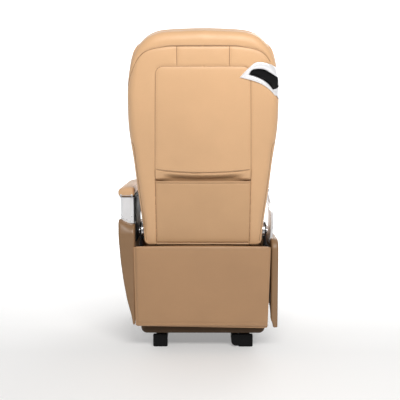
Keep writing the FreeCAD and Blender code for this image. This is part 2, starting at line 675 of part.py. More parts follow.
def leg_hangers():
    """Two eyes on the seat frame's front tube in which the leg rest's shaft turns."""
    eyes = []
    for x in (-206, 196):
        eye = joined(rod(x, x + 10, LEG_PIVOT_Y, LEG_PIVOT_Z, 16),
                     prism_x([(LEG_PIVOT_Y, LEG_PIVOT_Z - 14), (FRAME_FRONT, FRAME_Z + 3),
                              (FRAME_FRONT, FRAME_Z + FRAME_TUBE - 1), (LEG_PIVOT_Y, LEG_PIVOT_Z + 14)], x, x + 10))
        eyes.append(eye.cut(rod(x - 1, x + 11, LEG_PIVOT_Y, LEG_PIVOT_Z, SHAFT_R + RUNNING)))
    return group(*eyes)


def leg_motor():
    can = rod(-100, 10, FRAME_FRONT + 60, FRAME_Z - 32, 22)
    return joined(can, box(-124, -98, FRAME_FRONT + 32, FRAME_FRONT + 84, FRAME_Z - 56, FRAME_Z - 0.5))


def build_leg_rest():
    write("leg_pad", leg_pad())
    write("leg_board", leg_board())
    write("leg_shaft", leg_shaft())
    write("leg_arms", leg_arms())
    write("leg_hangers", leg_hangers())
    write("leg_motor", leg_motor())


# ---- armrests -----------------------------------------------------------------------------------
COLLAR_IN, COLLAR_OUT = 262.0, 313.0
TRAY_FRONT, TRAY_REAR = 14.0, 224.0


def left_collar():
    """The silver band between the left console and its pad: tall at the rear, swept away in front."""
    rear, top, low = 250.0, LEFT_PAD["bottom"] - 4, CONSOLE_TOP + 0.05
    x = COLLAR_IN
    edges = [line(V(x, rear, low), V(x, rear, top)),
             line(V(x, rear, top), V(x, -84, top)),
             line(V(x, -84, top), V(x, -84, top - 14)),
             arc(V(x, -84, top - 14), V(x, 10, low + 52), V(x, 66, low)),
             line(V(x, 66, low), V(x, rear, low))]
    solid = Part.Face(Part.Wire(edges)).extrude(V(COLLAR_OUT - COLLAR_IN, 0, 0))
    solid = rounded(solid, 14, lambda e: abs(e.CenterOfMass.y - rear) < 0.1 and runs_along(2)(e)
                    and e.CenterOfMass.x > COLLAR_OUT - 1)
    tray = box(COLLAR_IN + 5, COLLAR_OUT - 5, TRAY_FRONT, TRAY_REAR, top - 30, top + 1)
    return solid.cut(tray)


def left_inner_trim():
    """The black plate on the console's inner face."""
    corners = [(250, 416), (250, 583), (-70, 583), (-70, 572), (60, 500), (60, 416)]
    return prism_x(corners, 253.0, 255.8)


def left_lid():
    """The padded lid of the left armrest and the plate beneath it."""
    p = LEFT_PAD
    pad = box(p["inner"], p["outer"], p["front"], p["rear"], p["bottom"] + 4, p["top"])
    pad = rounded(pad, 9, lambda e: e.CenterOfMass.z > p["top"] - 0.1)
    pad = pad.cut(box(262, 313, LEFT_HINGE_Y - 14, p["rear"] + 1, p["bottom"], LEFT_HINGE_Z + 6))
    pad = pad.fuse(box(271, 304, LEFT_HINGE_Y - 5, LEFT_HINGE_Y + 5, LEFT_HINGE_Z - 5, LEFT_HINGE_Z + 6.5))
    pad = pad.cut(rod(262, 313, LEFT_HINGE_Y, LEFT_HINGE_Z, 3)).removeSplitter()
    plate = box(p["inner"] + 3, p["outer"] - 3, p["front"] + 4,
                LEFT_HINGE_Y - 16, p["bottom"] - 2, p["bottom"] + 4)
    return pad, plate


def left_hinge():
    """A pin in the lid and the two eyes on the silver band that hold its ends."""
    y, z = LEFT_HINGE_Y, LEFT_HINGE_Z
    pin = rod(264, 311, y, z, 3)
    eyes = []
    for x in (264, 305):
        eye = joined(rod(x, x + 6, y, z, 5), box(x, x + 6, 246, y, LEFT_PAD["bottom"] - 4, z))
        eyes.append(eye.cut(rod(x - 1, x + 7, y, z, 3 + RUNNING)))
    return pin, group(*eyes)


RIGHT_POST = [(-264, 420), (-268, 470), (-267, 523), (-259, 562), (-254, 590), (-254, 640)]


def right_post():
    """The silver blade that rises from the right shield to the slim armrest, leaning in at its top."""
    thick = 9.0
    outer = [V(x, 0, z) for x, z in RIGHT_POST]
    inner = [V(x + thick, 0, z) for x, z in reversed(RIGHT_POST)]
    section = Part.Face(Part.Wire([spline(outer), line(outer[-1], inner[0]), spline(inner), line(inner[-1], outer[0])]))
    blade = section.extrude(V(0, 400, 0))
    y, z, r = RIGHT_HINGE_Y, RIGHT_HINGE_Z, 24.0
    x0 = -300
    side = Part.Face(Part.Wire([
        line(V(x0, 232, 420), V(x0, 222, 500)),
        arc(V(x0, 222, 500), V(x0, 205, 560), V(x0, y + r, z)),
        arc(V(x0, y + r, z), V(x0, y, z + r), V(x0, y - r, z)),
        arc(V(x0, y - r, z), V(x0, 104, 500), V(x0, 132, 420)),
        line(V(x0, 132, 420), V(x0, 232, 420)),
    ])).extrude(V(100, 0, 0))
    blade = blade.common(side)
    tongue = box(-SHIELD_INNER - 6, -SHIELD_INNER, 136, 222, 340, 428)
    return joined(blade, tongue).cut(rod(-280, -230, y, z, 6 + RUNNING))


def right_pad():
    p = RIGHT_PAD
    y, z, r = RIGHT_HINGE_Y, RIGHT_HINGE_Z, RIGHT_PAD_R
    pad = joined(box(p["inner"], p["outer"], p["front"], y, z - r, z + r), rod(p["inner"], p["outer"], y, z, r))
    pad = rounded(pad, 12, lambda e: runs_along(0)(e) and e.CenterOfMass.y < p["front"] + 1)
    core = box(p["inner"] + 14, p["outer"] - 14, p["front"] + 30, y + 6, z - 6, z + 6)
    pad = pad.cut(core)
    pin = joined(rod(-262, p["inner"] + 13.9, y, z, 6), rod(-262, -256, y, z, 11))
    pad = pad.cut(rod(p["inner"] - 1, p["inner"] + 14, y, z, 6.0))
    return pad, core, pin


def post_foot():
    """The bracket that carries the silver blade from the seat frame's side tube."""
    x = -SHIELD_INNER
    return joined(box(x, x + 6, 96, 224, 300, 388), box(x, x + 6, 96, 124, FRAME_Z + 6, 301),
                  box(x, -FRAME_HALF, 96, 124, FRAME_Z + 6, FRAME_Z + 12))


def build_arms():
    write("arm_left_collar", left_collar())
    write("arm_left_inner_trim", left_inner_trim())
    pad, plate = left_lid()
    write("arm_left_pad", pad)
    write("arm_left_lid_plate", plate)
    pin, eyes = left_hinge()
    write("arm_left_hinge_pin", pin)
    write("arm_left_hinge_eyes", eyes)
    write("arm_right_post", right_post())
    pad, core, pin = right_pad()
    write("arm_right_pad", pad)
    write("arm_right_core", core)
    write("arm_right_pin", pin)
    write("arm_right_foot", post_foot())


def main():
    os.makedirs(PARTS, exist_ok=True)
    build_base()
    build_seat()
    build_recliner()
    build_back()
    build_leg_rest()
    build_arms()


main()
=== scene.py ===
import json
import math
import bmesh
import bpy
import numpy as np
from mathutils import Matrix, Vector, noise
from mathutils.bvhtree import BVHTree


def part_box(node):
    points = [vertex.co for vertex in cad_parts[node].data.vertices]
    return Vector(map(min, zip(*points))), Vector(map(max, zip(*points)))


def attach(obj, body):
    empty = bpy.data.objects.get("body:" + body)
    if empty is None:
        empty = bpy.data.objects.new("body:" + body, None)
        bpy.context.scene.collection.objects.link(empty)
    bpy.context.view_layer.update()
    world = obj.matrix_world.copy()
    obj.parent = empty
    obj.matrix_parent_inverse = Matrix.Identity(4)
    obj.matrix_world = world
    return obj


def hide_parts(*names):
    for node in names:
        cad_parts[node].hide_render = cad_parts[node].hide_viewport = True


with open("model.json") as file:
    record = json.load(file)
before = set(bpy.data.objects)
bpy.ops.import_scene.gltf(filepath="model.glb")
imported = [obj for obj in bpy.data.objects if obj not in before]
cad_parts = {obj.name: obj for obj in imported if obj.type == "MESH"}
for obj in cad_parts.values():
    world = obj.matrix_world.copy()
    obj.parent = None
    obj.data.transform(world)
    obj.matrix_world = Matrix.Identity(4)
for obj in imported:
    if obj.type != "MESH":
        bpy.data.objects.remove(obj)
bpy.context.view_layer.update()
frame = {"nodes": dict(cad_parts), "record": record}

NODES = frame["nodes"]
MM = 0.001

# Design sizes, in millimetres, as in the part. The back has its own frame: x across, n to the rear, t up.
JOINTS = {j["name"]: j for j in frame["record"]["behaviour"]["joints"]}
PIVOT = Vector(JOINTS["recline"]["pos_m"])
LEAN = math.radians(13.5)
TO_FRONT = (0, -math.cos(LEAN), math.sin(LEAN))     # square to the back, towards the sitter
TO_REAR = (0, math.cos(LEAN), -math.sin(LEAN))
BACK_REAR, SHELL_FRONT, EDGE_R, FOOT_R = 84.0, -18.0, 30.0, 7.0
OUTLINE = [(221, 0), (230, 80), (242, 190), (252, 300), (264, 400), (267, 480), (263, 580),
           (247, 660), (222, 708), (176, 745), (110, 764), (0, 770)]
FOOT_T, FOOT_CORNER = -27.0, 22.0
SHOULDER_T = 708.0
POCKET_T, LIP_END, LIP_MID, LIP_HALF = 228.0, 270.0, 259.0, 172.0


# ---- the camera, the floor and the light --------------------------------------------------------
def aim(obj, target):
    obj.rotation_euler = (Vector(target) - obj.location).to_track_quat("-Z", "Y").to_euler()


def add_camera():
    data = bpy.data.cameras.new("camera")
    data.lens, data.sensor_width = 60.0, 36.0
    data.dof.use_dof = False
    cam = bpy.data.objects.new("camera", data)
    cam.location = (0.0, 2.743, 0.854)
    down, round_by = 6.4, 180.26
    cam.rotation_euler = (math.radians(90.0 - down), 0.0, math.radians(round_by))
    bpy.context.scene.collection.objects.link(cam)
    bpy.context.scene.camera = cam


def add_area(name, place, target, size, power, colour=(1, 1, 1)):
    data = bpy.data.lights.new(name, "AREA")
    data.shape, data.size, data.size_y = "RECTANGLE", size[0], size[1]
    data.energy, data.color = power, colour
    lamp = bpy.data.objects.new(name, data)
    lamp.location = place
    bpy.context.scene.collection.objects.link(lamp)
    aim(lamp, target)


def set_range(node, from_low, from_high, to_low, to_high):
    node.inputs["From Min"].default_value = from_low
    node.inputs["From Max"].default_value = from_high
    node.inputs["To Min"].default_value = to_low
    node.inputs["To Max"].default_value = to_high


def fade_along_y(tree, output, limits, target):
    """Drives a socket from front to rear."""
    place = tree.nodes.new("ShaderNodeTexCoord")
    split = tree.nodes.new("ShaderNodeSeparateXYZ")
    fade = tree.nodes.new("ShaderNodeMapRange")
    set_range(fade, *limits)
    tree.links.new(place.outputs[output], split.inputs["Vector"])
    tree.links.new(split.outputs["Y"], fade.inputs["Value"])
    tree.links.new(fade.outputs["Result"], target)


def add_studio():
    bpy.context.scene.view_settings.view_transform = "Standard"
    world = bpy.data.worlds.new("studio")
    world.use_nodes = True
    back = world.node_tree.nodes["Background"]
    back.inputs["Color"].default_value = (1.0, 1.0, 1.0, 1.0)
    fade_along_y(world.node_tree, "Generated", (-0.4, 0.7, 0.55, 0.16), back.inputs["Strength"])
    bpy.context.scene.world = world
    add_area("key", (-0.3, 2.0, 1.85), (0.0, 0.3, 1.1), (1.2, 0.5), 40.0, (1.0, 0.985, 0.96))
    add_area("left", (2.2, 1.2, 1.5), (0.2, 0.1, 0.6), (0.8, 1.4), 3.5)
    add_area("front", (-1.4, -2.6, 2.2), (0.0, -0.1, 0.7), (1.6, 1.6), 26.0)


def add_floor():
    """A pale floor that rises in a wide curve into the backdrop."""
    near, bend, curve, half, height = 6.0, -2.2, 1.8, 9.0, 6.0
    profile = [(near, 0.0), (bend, 0.0)]
    for a in np.linspace(0.1, math.pi / 2, 14):
        profile.append((bend - curve * math.sin(a), curve - curve * math.cos(a)))
    profile.append((-4.0, height))
    verts = [(x, y, z) for y, z in profile for x in (-half, half)]
    faces = [(2 * k, 2 * k + 2, 2 * k + 3, 2 * k + 1) for k in range(len(profile) - 1)]
    mesh = bpy.data.meshes.new("floor")
    mesh.from_pydata(verts, [], faces)
    smooth(mesh)
    obj = bpy.data.objects.new("floor", mesh)
    bpy.context.scene.collection.objects.link(obj)
    mat = bpy.data.materials.new("floor")
    mat.use_nodes = True
    shader = mat.node_tree.nodes["Principled BSDF"]
    shader.inputs["Base Color"].default_value = (0.62, 0.62, 0.62, 1)
    shader.inputs["Roughness"].default_value = 0.8
    shader.inputs["Emission Color"].default_value = (1.0, 1.0, 1.0, 1)
    fade_along_y(mat.node_tree, "Object", (-2.4, 0.3, 1.0, 0.26), shader.inputs["Emission Strength"])
    mesh.materials.append(mat)


# ---- materials ----------------------------------------------------------------------------------
class Maker:
    """Short way to lay nodes in a material."""
    def __init__(self, name):
        self.mat = bpy.data.materials.new(name)
        self.mat.use_nodes = True
        self.tree = self.mat.node_tree
        self.shader = self.tree.nodes["Principled BSDF"]
        self.coord = self.add("ShaderNodeTexCoord").outputs["Object"]

    def add(self, kind, **settings):
        node = self.tree.nodes.new(kind)
        for key, value in settings.items():
            setattr(node, key, value)
        return node

    def link(self, source, target):
        self.tree.links.new(source, target)

    def noise(self, scale, detail=2.0, rough=0.5, distortion=0.0, vector=None, output="Fac"):
        node = self.add("ShaderNodeTexNoise")
        node.inputs["Scale"].default_value = scale
        node.inputs["Detail"].default_value = detail
        node.inputs["Roughness"].default_value = rough
        node.inputs["Distortion"].default_value = distortion
        self.link(self.coord if vector is None else vector, node.inputs["Vector"])
        return node.outputs[output]

    def streaks(self, stretch, scale, detail):
        """Noise drawn out along one axis."""
        mapping = self.add("ShaderNodeMapping")
        mapping.inputs["Scale"].default_value = stretch
        self.link(self.coord, mapping.inputs["Vector"])
        return self.noise(scale, detail, vector=mapping.outputs["Vector"])

    def ramp(self, source, stops):
        node = self.add("ShaderNodeValToRGB")
        ramp = node.color_ramp
        while len(ramp.elements) < len(stops):
            ramp.elements.new(0.5)
        for element, (place, colour) in zip(ramp.elements, stops):
            element.position = place
            element.color = (*colour, 1)
        self.link(source, node.inputs["Fac"])
        return node.outputs["Color"]

    def grey(self, source, low, high, a=0.0, b=1.0):
        node = self.add("ShaderNodeMapRange")
        set_range(node, a, b, low, high)
        self.link(source, node.inputs["Value"])
        return node.outputs["Result"]

    def mix(self, factor, tone, colour):
        """Lays a flat colour over a tone where the factor is high."""
        node = self.add("ShaderNodeMix", data_type="RGBA")
        self.link(factor, node.inputs[0])
        self.link(tone, node.inputs[6])
        node.inputs[7].default_value = (*colour, 1)
        return node.outputs[2]

    def bump(self, height, strength, distance, onto=None):
        node = self.add("ShaderNodeBump")
        node.inputs["Strength"].default_value = strength
        node.inputs["Distance"].default_value = distance
        self.link(height, node.inputs["Height"])
        if onto is not None:
            self.link(onto, node.inputs["Normal"])
        return node.outputs["Normal"]

    def finish(self, colour, rough, normal, **constants):
        for value, key in ((colour, "Base Color"), (rough, "Roughness"), (normal, "Normal")):
            self.link(value, self.shader.inputs[key])
        for key, value in constants.items():
            self.shader.inputs[key.replace("_", " ")].default_value = value
        return self.mat


def shade(colour, k):
    return tuple(min(1.0, c * k) for c in colour)


def leather(name, colour, rough=(0.38, 0.52)):
    """Hide: pebbled grain with painted shade in its hollows, fine creases, slow colour drift, and paler,
    smoother patches.
    """
    m = Maker(name)
    cells = m.add("ShaderNodeTexVoronoi", feature="DISTANCE_TO_EDGE")
    cells.inputs["Scale"].default_value = 900.0
    warp = m.add("ShaderNodeVectorMath", operation="MULTIPLY_ADD")
    m.link(m.noise(160.0, output="Color"), warp.inputs[0])
    warp.inputs[1].default_value = (0.004, 0.004, 0.004)
    m.link(m.coord, warp.inputs[2])
    m.link(warp.outputs["Vector"], cells.inputs["Vector"])
    pebble = m.grey(cells.outputs["Distance"], 0.0, 1.0, 0.0, 0.35)
    crease = m.noise(42.0, 8.0, 0.62, 0.6)
    drift = m.noise(3.2, 3.0, 0.55)
    patches = m.noise(11.0, 4.0, 0.6)
    tone = m.ramp(drift, [(0.3, shade(colour, 0.93)), (0.52, colour), (0.75, shade(colour, 1.05))])
    tone = m.mix(m.grey(patches, 0.0, 0.22, 0.42, 0.75), tone, shade(colour, 0.86))
    # painted shade: the grain's hollows, where the bump is lowest, are darkened towards 0.55 of the colour
    tone = m.mix(m.grey(pebble, 0.16, 0.0), tone, shade(colour, 0.55))
    roughness = m.grey(patches, rough[0], rough[1], 0.3, 0.7)
    normal = m.bump(pebble, 0.35, 0.00035)
    normal = m.bump(crease, 0.22, 0.0012, normal)
    return m.finish(tone, roughness, normal, Specular_IOR_Level=0.5, Sheen_Weight=0.08,
                    Sheen_Roughness=0.45, Coat_Weight=0.06, Coat_Roughness=0.4)


def moulded(name, colour, rough=0.5, grain=1400.0, coat=0.0, shine=0.5):
    """Moulded plastic: a fine spark texture, faint mottling and slightly rubbed patches."""
    m = Maker(name)
    fine = m.noise(grain, 2.0, 0.6)
    drift = m.noise(5.0, 3.0, 0.5)
    rub = m.noise(26.0, 6.0, 0.65)
    tone = m.ramp(drift, [(0.3, shade(colour, 0.9)), (0.7, shade(colour, 1.08))])
    tone = m.mix(m.grey(rub, 0.0, 0.12, 0.55, 0.75), tone, shade(colour, 1.3))
    roughness = m.grey(rub, rough - 0.08, rough + 0.08, 0.3, 0.7)
    return m.finish(tone, roughness, m.bump(fine, 0.3, 0.0002), Coat_Weight=coat,
                    Coat_Roughness=0.15, Specular_IOR_Level=shine)


def metal(name, colour, rough=0.3, streak=(1.0, 1.0, 1.0), metallic=1.0, coat=0.0, relief=0.06):
    """Painted or bare metal: faint streaks and smudges."""
    m = Maker(name)
    lines = m.streaks(streak, 90.0, 4.0)
    smudge = m.noise(14.0, 5.0, 0.6)
    tone = m.ramp(smudge, [(0.3, shade(colour, 0.96)), (0.65, colour)])
    roughness = m.grey(smudge, rough - 0.06, rough + 0.1, 0.3, 0.75)
    return m.finish(tone, roughness, m.bump(lines, relief, 0.0004), Metallic=metallic,
                    Coat_Weight=coat, Coat_Roughness=0.12)


def wood(name):
    m = Maker(name)
    grain = m.streaks((4.0, 60.0, 60.0), 3.0, 6.0)
    tone = m.ramp(grain, [(0.3, (0.42, 0.28, 0.15)), (0.6, (0.62, 0.45, 0.27))])
    return m.finish(tone, m.grey(grain, 0.55, 0.75), m.bump(grain, 0.2, 0.0005))


TAN = (0.66, 0.40, 0.212)
MAT = {
    "leather": leather("hide_tan", TAN),
    # painted shade: the pocket panel's leather is the tan darkened for the lower, shaded part of the back
    "leather_pocket": leather("hide_tan_pocket", (0.57, 0.34, 0.175)),
    # painted shade: the rear board's leather is the tan darkened for the low, upright, shaded board
    "leather_low": leather("hide_tan_lower", (0.43, 0.245, 0.122)),
    # the covers' own tan, darkened further as painted shade for their downward-facing sides
    "tan_shell": moulded("shell_tan", (0.27, 0.155, 0.077), 0.42),
    # painted shadow: the skirt's own brown darkened almost to black for the shade under the rear panel
    "shadow_tan": moulded("shell_painted_shadow", (0.060, 0.033, 0.015), 0.6, shine=0.2),
    "silver_paint": metal("silver_paint", (0.93, 0.93, 0.95), 0.30, metallic=0.5, coat=0.25, relief=0.012),
    "black_plastic": moulded("black_plastic", (0.006, 0.006, 0.0065), 0.5, shine=0.12),
    "switch_grey": moulded("switch_grey", (0.22, 0.22, 0.23), 0.3, coat=0.2),
    "dark_steel": moulded("dark_steel", (0.010, 0.010, 0.011), 0.5, grain=700.0, shine=0.2),
    "bright_steel": metal("bright_steel", (0.66, 0.66, 0.68), 0.28, streak=(0.08, 1, 1)),
    "motor_casing": metal("motor_casing", (0.40, 0.41, 0.43), 0.42),
    "plywood": wood("plywood"),
    "thread": leather("thread", (0.72, 0.50, 0.31), rough=(0.6, 0.7)),
    "seam": leather("seam", (0.33, 0.19, 0.10), rough=(0.5, 0.6)),
}


# ---- mesh tools ---------------------------------------------------------------------------------
def smooth(mesh):
    for poly in mesh.polygons:
        poly.use_smooth = True


def put(name, mesh, material):
    obj = bpy.data.objects.new(name, mesh)
    bpy.context.scene.collection.objects.link(obj)
    mesh.materials.clear()
    mesh.materials.append(MAT[material])
    smooth(mesh)
    return obj


def hand_over(obj, body, slot, *nodes):
    """The body a piece rides on and the CAD nodes it stands in for; the material slot is not used."""
    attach(obj, body)
    if nodes:
        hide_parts(*nodes)
    return obj


def apply_all(obj):
    bpy.ops.object.select_all(action="DESELECT")
    obj.select_set(True)
    bpy.context.view_layer.objects.active = obj
    for mod in list(obj.modifiers):
        bpy.ops.object.modifier_apply(modifier=mod.name)


def build_mesh(name, verts, faces, merge=None):
    """A mesh with its faces turned outwards; with merge, near points are joined first."""
    mesh = bpy.data.meshes.new(name)
    mesh.from_pydata([tuple(map(float, v)) for v in verts], [], [tuple(f) for f in faces])
    bm = bmesh.new()
    bm.from_mesh(mesh)
    if merge:
        bmesh.ops.remove_doubles(bm, verts=bm.verts, dist=merge)
        bmesh.ops.dissolve_degenerate(bm, edges=bm.edges, dist=1e-7)
    bmesh.ops.recalc_face_normals(bm, faces=bm.faces)
    bm.to_mesh(mesh)
    bm.free()
    mesh.update()
    return mesh


def make(name, verts, faces, material, merge=0.00001):
    return put(name, build_mesh(name, verts, faces, merge), material)


def grid_faces(rows, cols, wrap=False, keep=None):
    faces = []
    for r in range(rows - 1):
        for c in range(cols if wrap else cols - 1):
            d = (c + 1) % cols
            if keep is None or keep(r, c):
                faces.append((r * cols + c, r * cols + d, (r + 1) * cols + d, (r + 1) * cols + c))
    return faces


def border_of(rows, cols):
    """The (row, column) pairs round a grid."""
    rim = [(0, c) for c in range(cols)] + [(r, cols - 1) for r in range(1, rows)]
    rim += [(rows - 1, c) for c in range(cols - 2, -1, -1)]
    return rim + [(r, 0) for r in range(rows - 2, 0, -1)]


def next_ring(faces, loop, count):
    """Joins a closed loop to a new ring that starts at point number count."""
    new = list(range(count, count + len(loop)))
    for k in range(len(loop)):
        j = (k + 1) % len(loop)
        faces.append((loop[k], loop[j], new[j], new[k]))
    return new


def as_points(x, y, z):
    """One (x, y, z) row per point; a lone number is repeated."""
    return np.stack([np.ravel(v).astype(float) for v in np.broadcast_arrays(x, y, z)], 1)


def solid_sheet(obj, thickness):
    mod = obj.modifiers.new("thick", "SOLIDIFY")
    mod.thickness, mod.offset, mod.use_even_offset = thickness, -1.0, False
    apply_all(obj)


def leaned(points):
    """Points of the back's own frame (x, n, t) in mm, as row-frame metres."""
    p = np.asarray(points, float).reshape(-1, 3) * MM
    c, s = math.cos(LEAN), math.sin(LEAN)
    y = PIVOT.y + p[:, 1] * c + p[:, 2] * s
    z = PIVOT.z - p[:, 1] * s + p[:, 2] * c
    return np.stack([p[:, 0], y, z], axis=1)


def local(co):
    """A row-frame point, or columns of them, in the back's own frame in mm."""
    c, s = math.cos(LEAN), math.sin(LEAN)
    y, z = co[1] - PIVOT.y, co[2] - PIVOT.z
    return 1000 * co[0], 1000 * (y * c - z * s), 1000 * (y * s + z * c)


def smooth_curve(points, per=16):
    """Catmull-Rom points through the given ones."""
    p = np.asarray(points, float)
    ends = np.vstack([2 * p[0] - p[1], p, 2 * p[-1] - p[-2]])
    out = []
    for k in range(len(p) - 1):
        a, b, c, d = ends[k:k + 4]
        for s in np.linspace(0, 1, per, endpoint=False):
            out.append(0.5 * (2 * b + (c - a) * s + (2 * a - 5 * b + 4 * c - d) * s ** 2
                              + (3 * b - a - 3 * c + d) * s ** 3))
    out.append(p[-1])
    return np.array(out)


def resample(points, count):
    p = np.asarray(points, float)
    run = np.concatenate([[0], np.cumsum(np.linalg.norm(np.diff(p, axis=0), axis=1))])
    at = np.linspace(0, run[-1], count)
    return np.stack([np.interp(at, run, p[:, k]) for k in range(p.shape[1])], axis=1)


def distance_to(px, pt, line):
    """Distance of every point (px, pt) to a polyline of (x, t) points."""
    best = np.full(px.shape, 1e9)
    for a, b in zip(line[:-1], line[1:]):
        ab = b - a
        length2 = max(float(ab @ ab), 1e-12)
        s = np.clip(((px - a[0]) * ab[0] + (pt - a[1]) * ab[1]) / length2, 0, 1)
        best = np.minimum(best, np.hypot(px - a[0] - s * ab[0], pt - a[1] - s * ab[1]))
    return best


def inside(px, pt, loop):
    """True where a point lies within the closed loop."""
    hit = np.zeros(px.shape, bool)
    for a, b in zip(loop, np.roll(loop, -1, axis=0)):
        if a[1] == b[1]:
            continue
        cross = (a[1] > pt) != (b[1] > pt)
        hit ^= cross & (px < (b[0] - a[0]) * (pt - a[1]) / (b[1] - a[1]) + a[0])
    return hit


def ease(v, a, b):
    s = np.clip((np.asarray(v, float) - a) / (b - a), 0, 1)
    return s * s * (3 - 2 * s)


# ---- the back: outline, seams and surface height ------------------------------------------------
def quarter(x, t, r, count=8):
    """A quarter turn about (x, t), from straight up to straight out."""
    return [(x + r * math.sin(a), t + r * math.cos(a)) for a in np.linspace(0, math.pi / 2, count)]


SIDE = smooth_curve(OUTLINE, 14)
FOOT_ARC = [(221 - FOOT_CORNER + FOOT_CORNER * math.sin(a), FOOT_T + FOOT_CORNER * (1 - math.cos(a)))
            for a in np.linspace(0, math.pi / 2, 8)]
HALF = np.vstack([np.array([(0.0, FOOT_T)]), np.array(FOOT_ARC), SIDE])
LOOP = np.vstack([HALF, (HALF[1:-1] * [-1, 1])[::-1]])
RISING = np.vstack([np.array(FOOT_ARC), SIDE[SIDE[:, 1] <= SHOULDER_T + 0.01]])
CROWN = SIDE[SIDE[:, 1] >= SHOULDER_T - 0.01]


def half_width(t):
    return np.interp(t, RISING[:, 1], RISING[:, 0])


def seam_x(t):
    """The inner panel's upright seam."""
    return np.interp(t, [-30, 0, 270, 604], [175, 175, 174, 165])


def lip(x):
    """The scoop's upper edge, lowest in the middle."""
    return LIP_MID + (LIP_END - LIP_MID) * np.minimum(np.abs(x) / LIP_HALF, 1.0) ** 2


def both_sides(line):
    return [np.array(line, float), np.array(line, float) * [-1, 1]]


def pair(low, high):
    """The same straight line on the left and on the right."""
    return [np.array([(s * low[0], low[1]), (s * high[0], high[1])], float) for s in (1, -1)]


TOP_SEAM = smooth_curve([(0, 712), (60, 712), (110, 711), (136, 707), (175, 699), (204, 687), (225, 665),
                         (240, 636), (254, 600), (266, 560)], 8)
BEZEL_LOW = [(-126, 604), (-155, 597), (-182, 589), (-209, 577), (-232, 560), (-252, 538), (-261, 524)]
BEZEL_HIGH = [(-261, 524), (-264, 570), (-259, 622), (-242, 642), (-219, 652), (-196, 656), (-175, 652),
              (-146, 626), (-126, 604)]
EYE_LOW = [(-158, 613), (-182, 606), (-208, 594), (-227, 580), (-242, 562)]
EYE_HIGH = [(-242, 562), (-256, 567), (-263, 576), (-263, 590), (-257, 600), (-246, 609), (-226, 622),
            (-206, 631), (-178, 632), (-166, 626), (-158, 613)]
EYE_COUNT = 56


def eye_loop(low, high):
    return np.vstack([resample(smooth_curve(line), EYE_COUNT)[:-1] for line in (low, high)])


BEZEL_LOOP, OPEN_LOOP = eye_loop(BEZEL_LOW, BEZEL_HIGH), eye_loop(EYE_LOW, EYE_HIGH)
SINK_LOOP = BEZEL_LOOP - np.stack([30.0 * ease(-BEZEL_LOOP[:, 0], 246, 258), 0 * BEZEL_LOOP[:, 0]], 1)
TAB_X, TAB_LOW, TAB_HIGH = 90, 645, 709

INNER = [(0, 642), *quarter(137, 614, 28), (165, 604), (170, 430), (174, 270), (175, 0), (175, -26)]
SIDE_SEAM = smooth_curve([(262, 372), (252, 366), (247, 350), (243, 300), (233, 190), (221, 80),
                          (212, -10)], 8)
# Each seam is a line with the depth and the width of its groove.
SEAMS = [(TOP_SEAM, 3.0, 3.2), (TOP_SEAM[TOP_SEAM[:, 1] > 650] * [-1, 1], 3.0, 3.2)]
SEAMS += [(s, 2.6, 2.8) for s in both_sides(INNER)]
SEAMS += [(s, 2.0, 2.6) for s in pair((-TAB_X, TAB_LOW), (-TAB_X, TAB_HIGH))]
SEAMS += [(s, 2.4, 3.0) for s in both_sides(SIDE_SEAM)]


def from_outline(x, t):
    """How far a point lies within the back's outline, nought outside it."""
    d = distance_to(x, t, np.vstack([LOOP, LOOP[:1]]))
    return np.where(inside(x, t, LOOP), d, 0.0)


def rounded(d, turn):
    """A quarter-round edge of radius turn, and a slight swell within it."""
    near = np.minimum(d, turn)
    n = BACK_REAR - turn + np.sqrt(np.maximum(turn ** 2 - (turn - near) ** 2, 0))
    return n + 1.5 * ease(d, 20, 160)


def plain_height(x, t):
    """The back's surface without seams, for what is set on it."""
    return rounded(from_outline(x, t), EDGE_R)


def edge_radius(t):
    """The cover turns sharply at its foot and softly everywhere else."""
    return FOOT_R + (EDGE_R - FOOT_R) * ease(t, FOOT_T + 14, FOOT_T + 90)


def back_height(x, t):
    """How far to the rear the back's cover lies at (x, t), with its seams and the bezel's seat."""
    d = from_outline(x, t)
    n = rounded(d, edge_radius(t))
    closest = np.full(x.shape, 1e9)
    for line, depth, width in SEAMS:
        ds = distance_to(x, t, line)
        closest = np.minimum(closest, ds)
        n = n - depth * np.exp(-(ds / width) ** 2)
    n = n - 2.6 * np.exp(-closest / 14.0) * ease(d, 2, 16)
    sunk = inside(x, t, SINK_LOOP)
    db = distance_to(x, t, np.vstack([SINK_LOOP, SINK_LOOP[:1]]))
    return n - np.where(sunk, 17.0 * ease(db, 3, 9), 0)


def ripple(x, y, z, size, amount, seed=0.0):
    """Slow unevenness of a stuffed surface, in mm."""
    lift = [amount * noise.noise(Vector((p[0] / size + seed, p[1] / size, p[2] / size)))
            for p in as_points(x, y, z)]
    return np.array(lift).reshape(x.shape)


# The cover's grid: rows that follow the pocket's edge, the scoop's lip, the seams and the crown.
def level(t):
    return lambda x: t + 0 * x


def crown_row(x):
    order = np.argsort(CROWN[:, 0])
    return np.interp(np.maximum(np.abs(x), 24.0), CROWN[order, 0], CROWN[order, 1])


ROWS = [
    (FOOT_T, level(FOOT_T)), (POCKET_T, level(POCKET_T)), (LIP_END, lip), (366.0, level(366.0)),
    (470.0, level(505.0)), (540.0, lambda x: 642.0 - 90 * ease(np.abs(x), 150, 262)),
    (590.0, lambda x: np.interp(np.abs(x), TOP_SEAM[:, 0], TOP_SEAM[:, 1])), (SHOULDER_T, crown_row),
]
PANEL_SHARE = 0.68      # the part of the grid's half width that the inner panel takes
COVER_RINGS = ((44, 0.3), (30, 0.3), (20, 0), (13.5, -0.4), (10.5, -3.0), (7.5, -0.4), (0, 0.6), (-10, 0.6),
               (-15, -0.6), (SHELL_FRONT, -4.0))


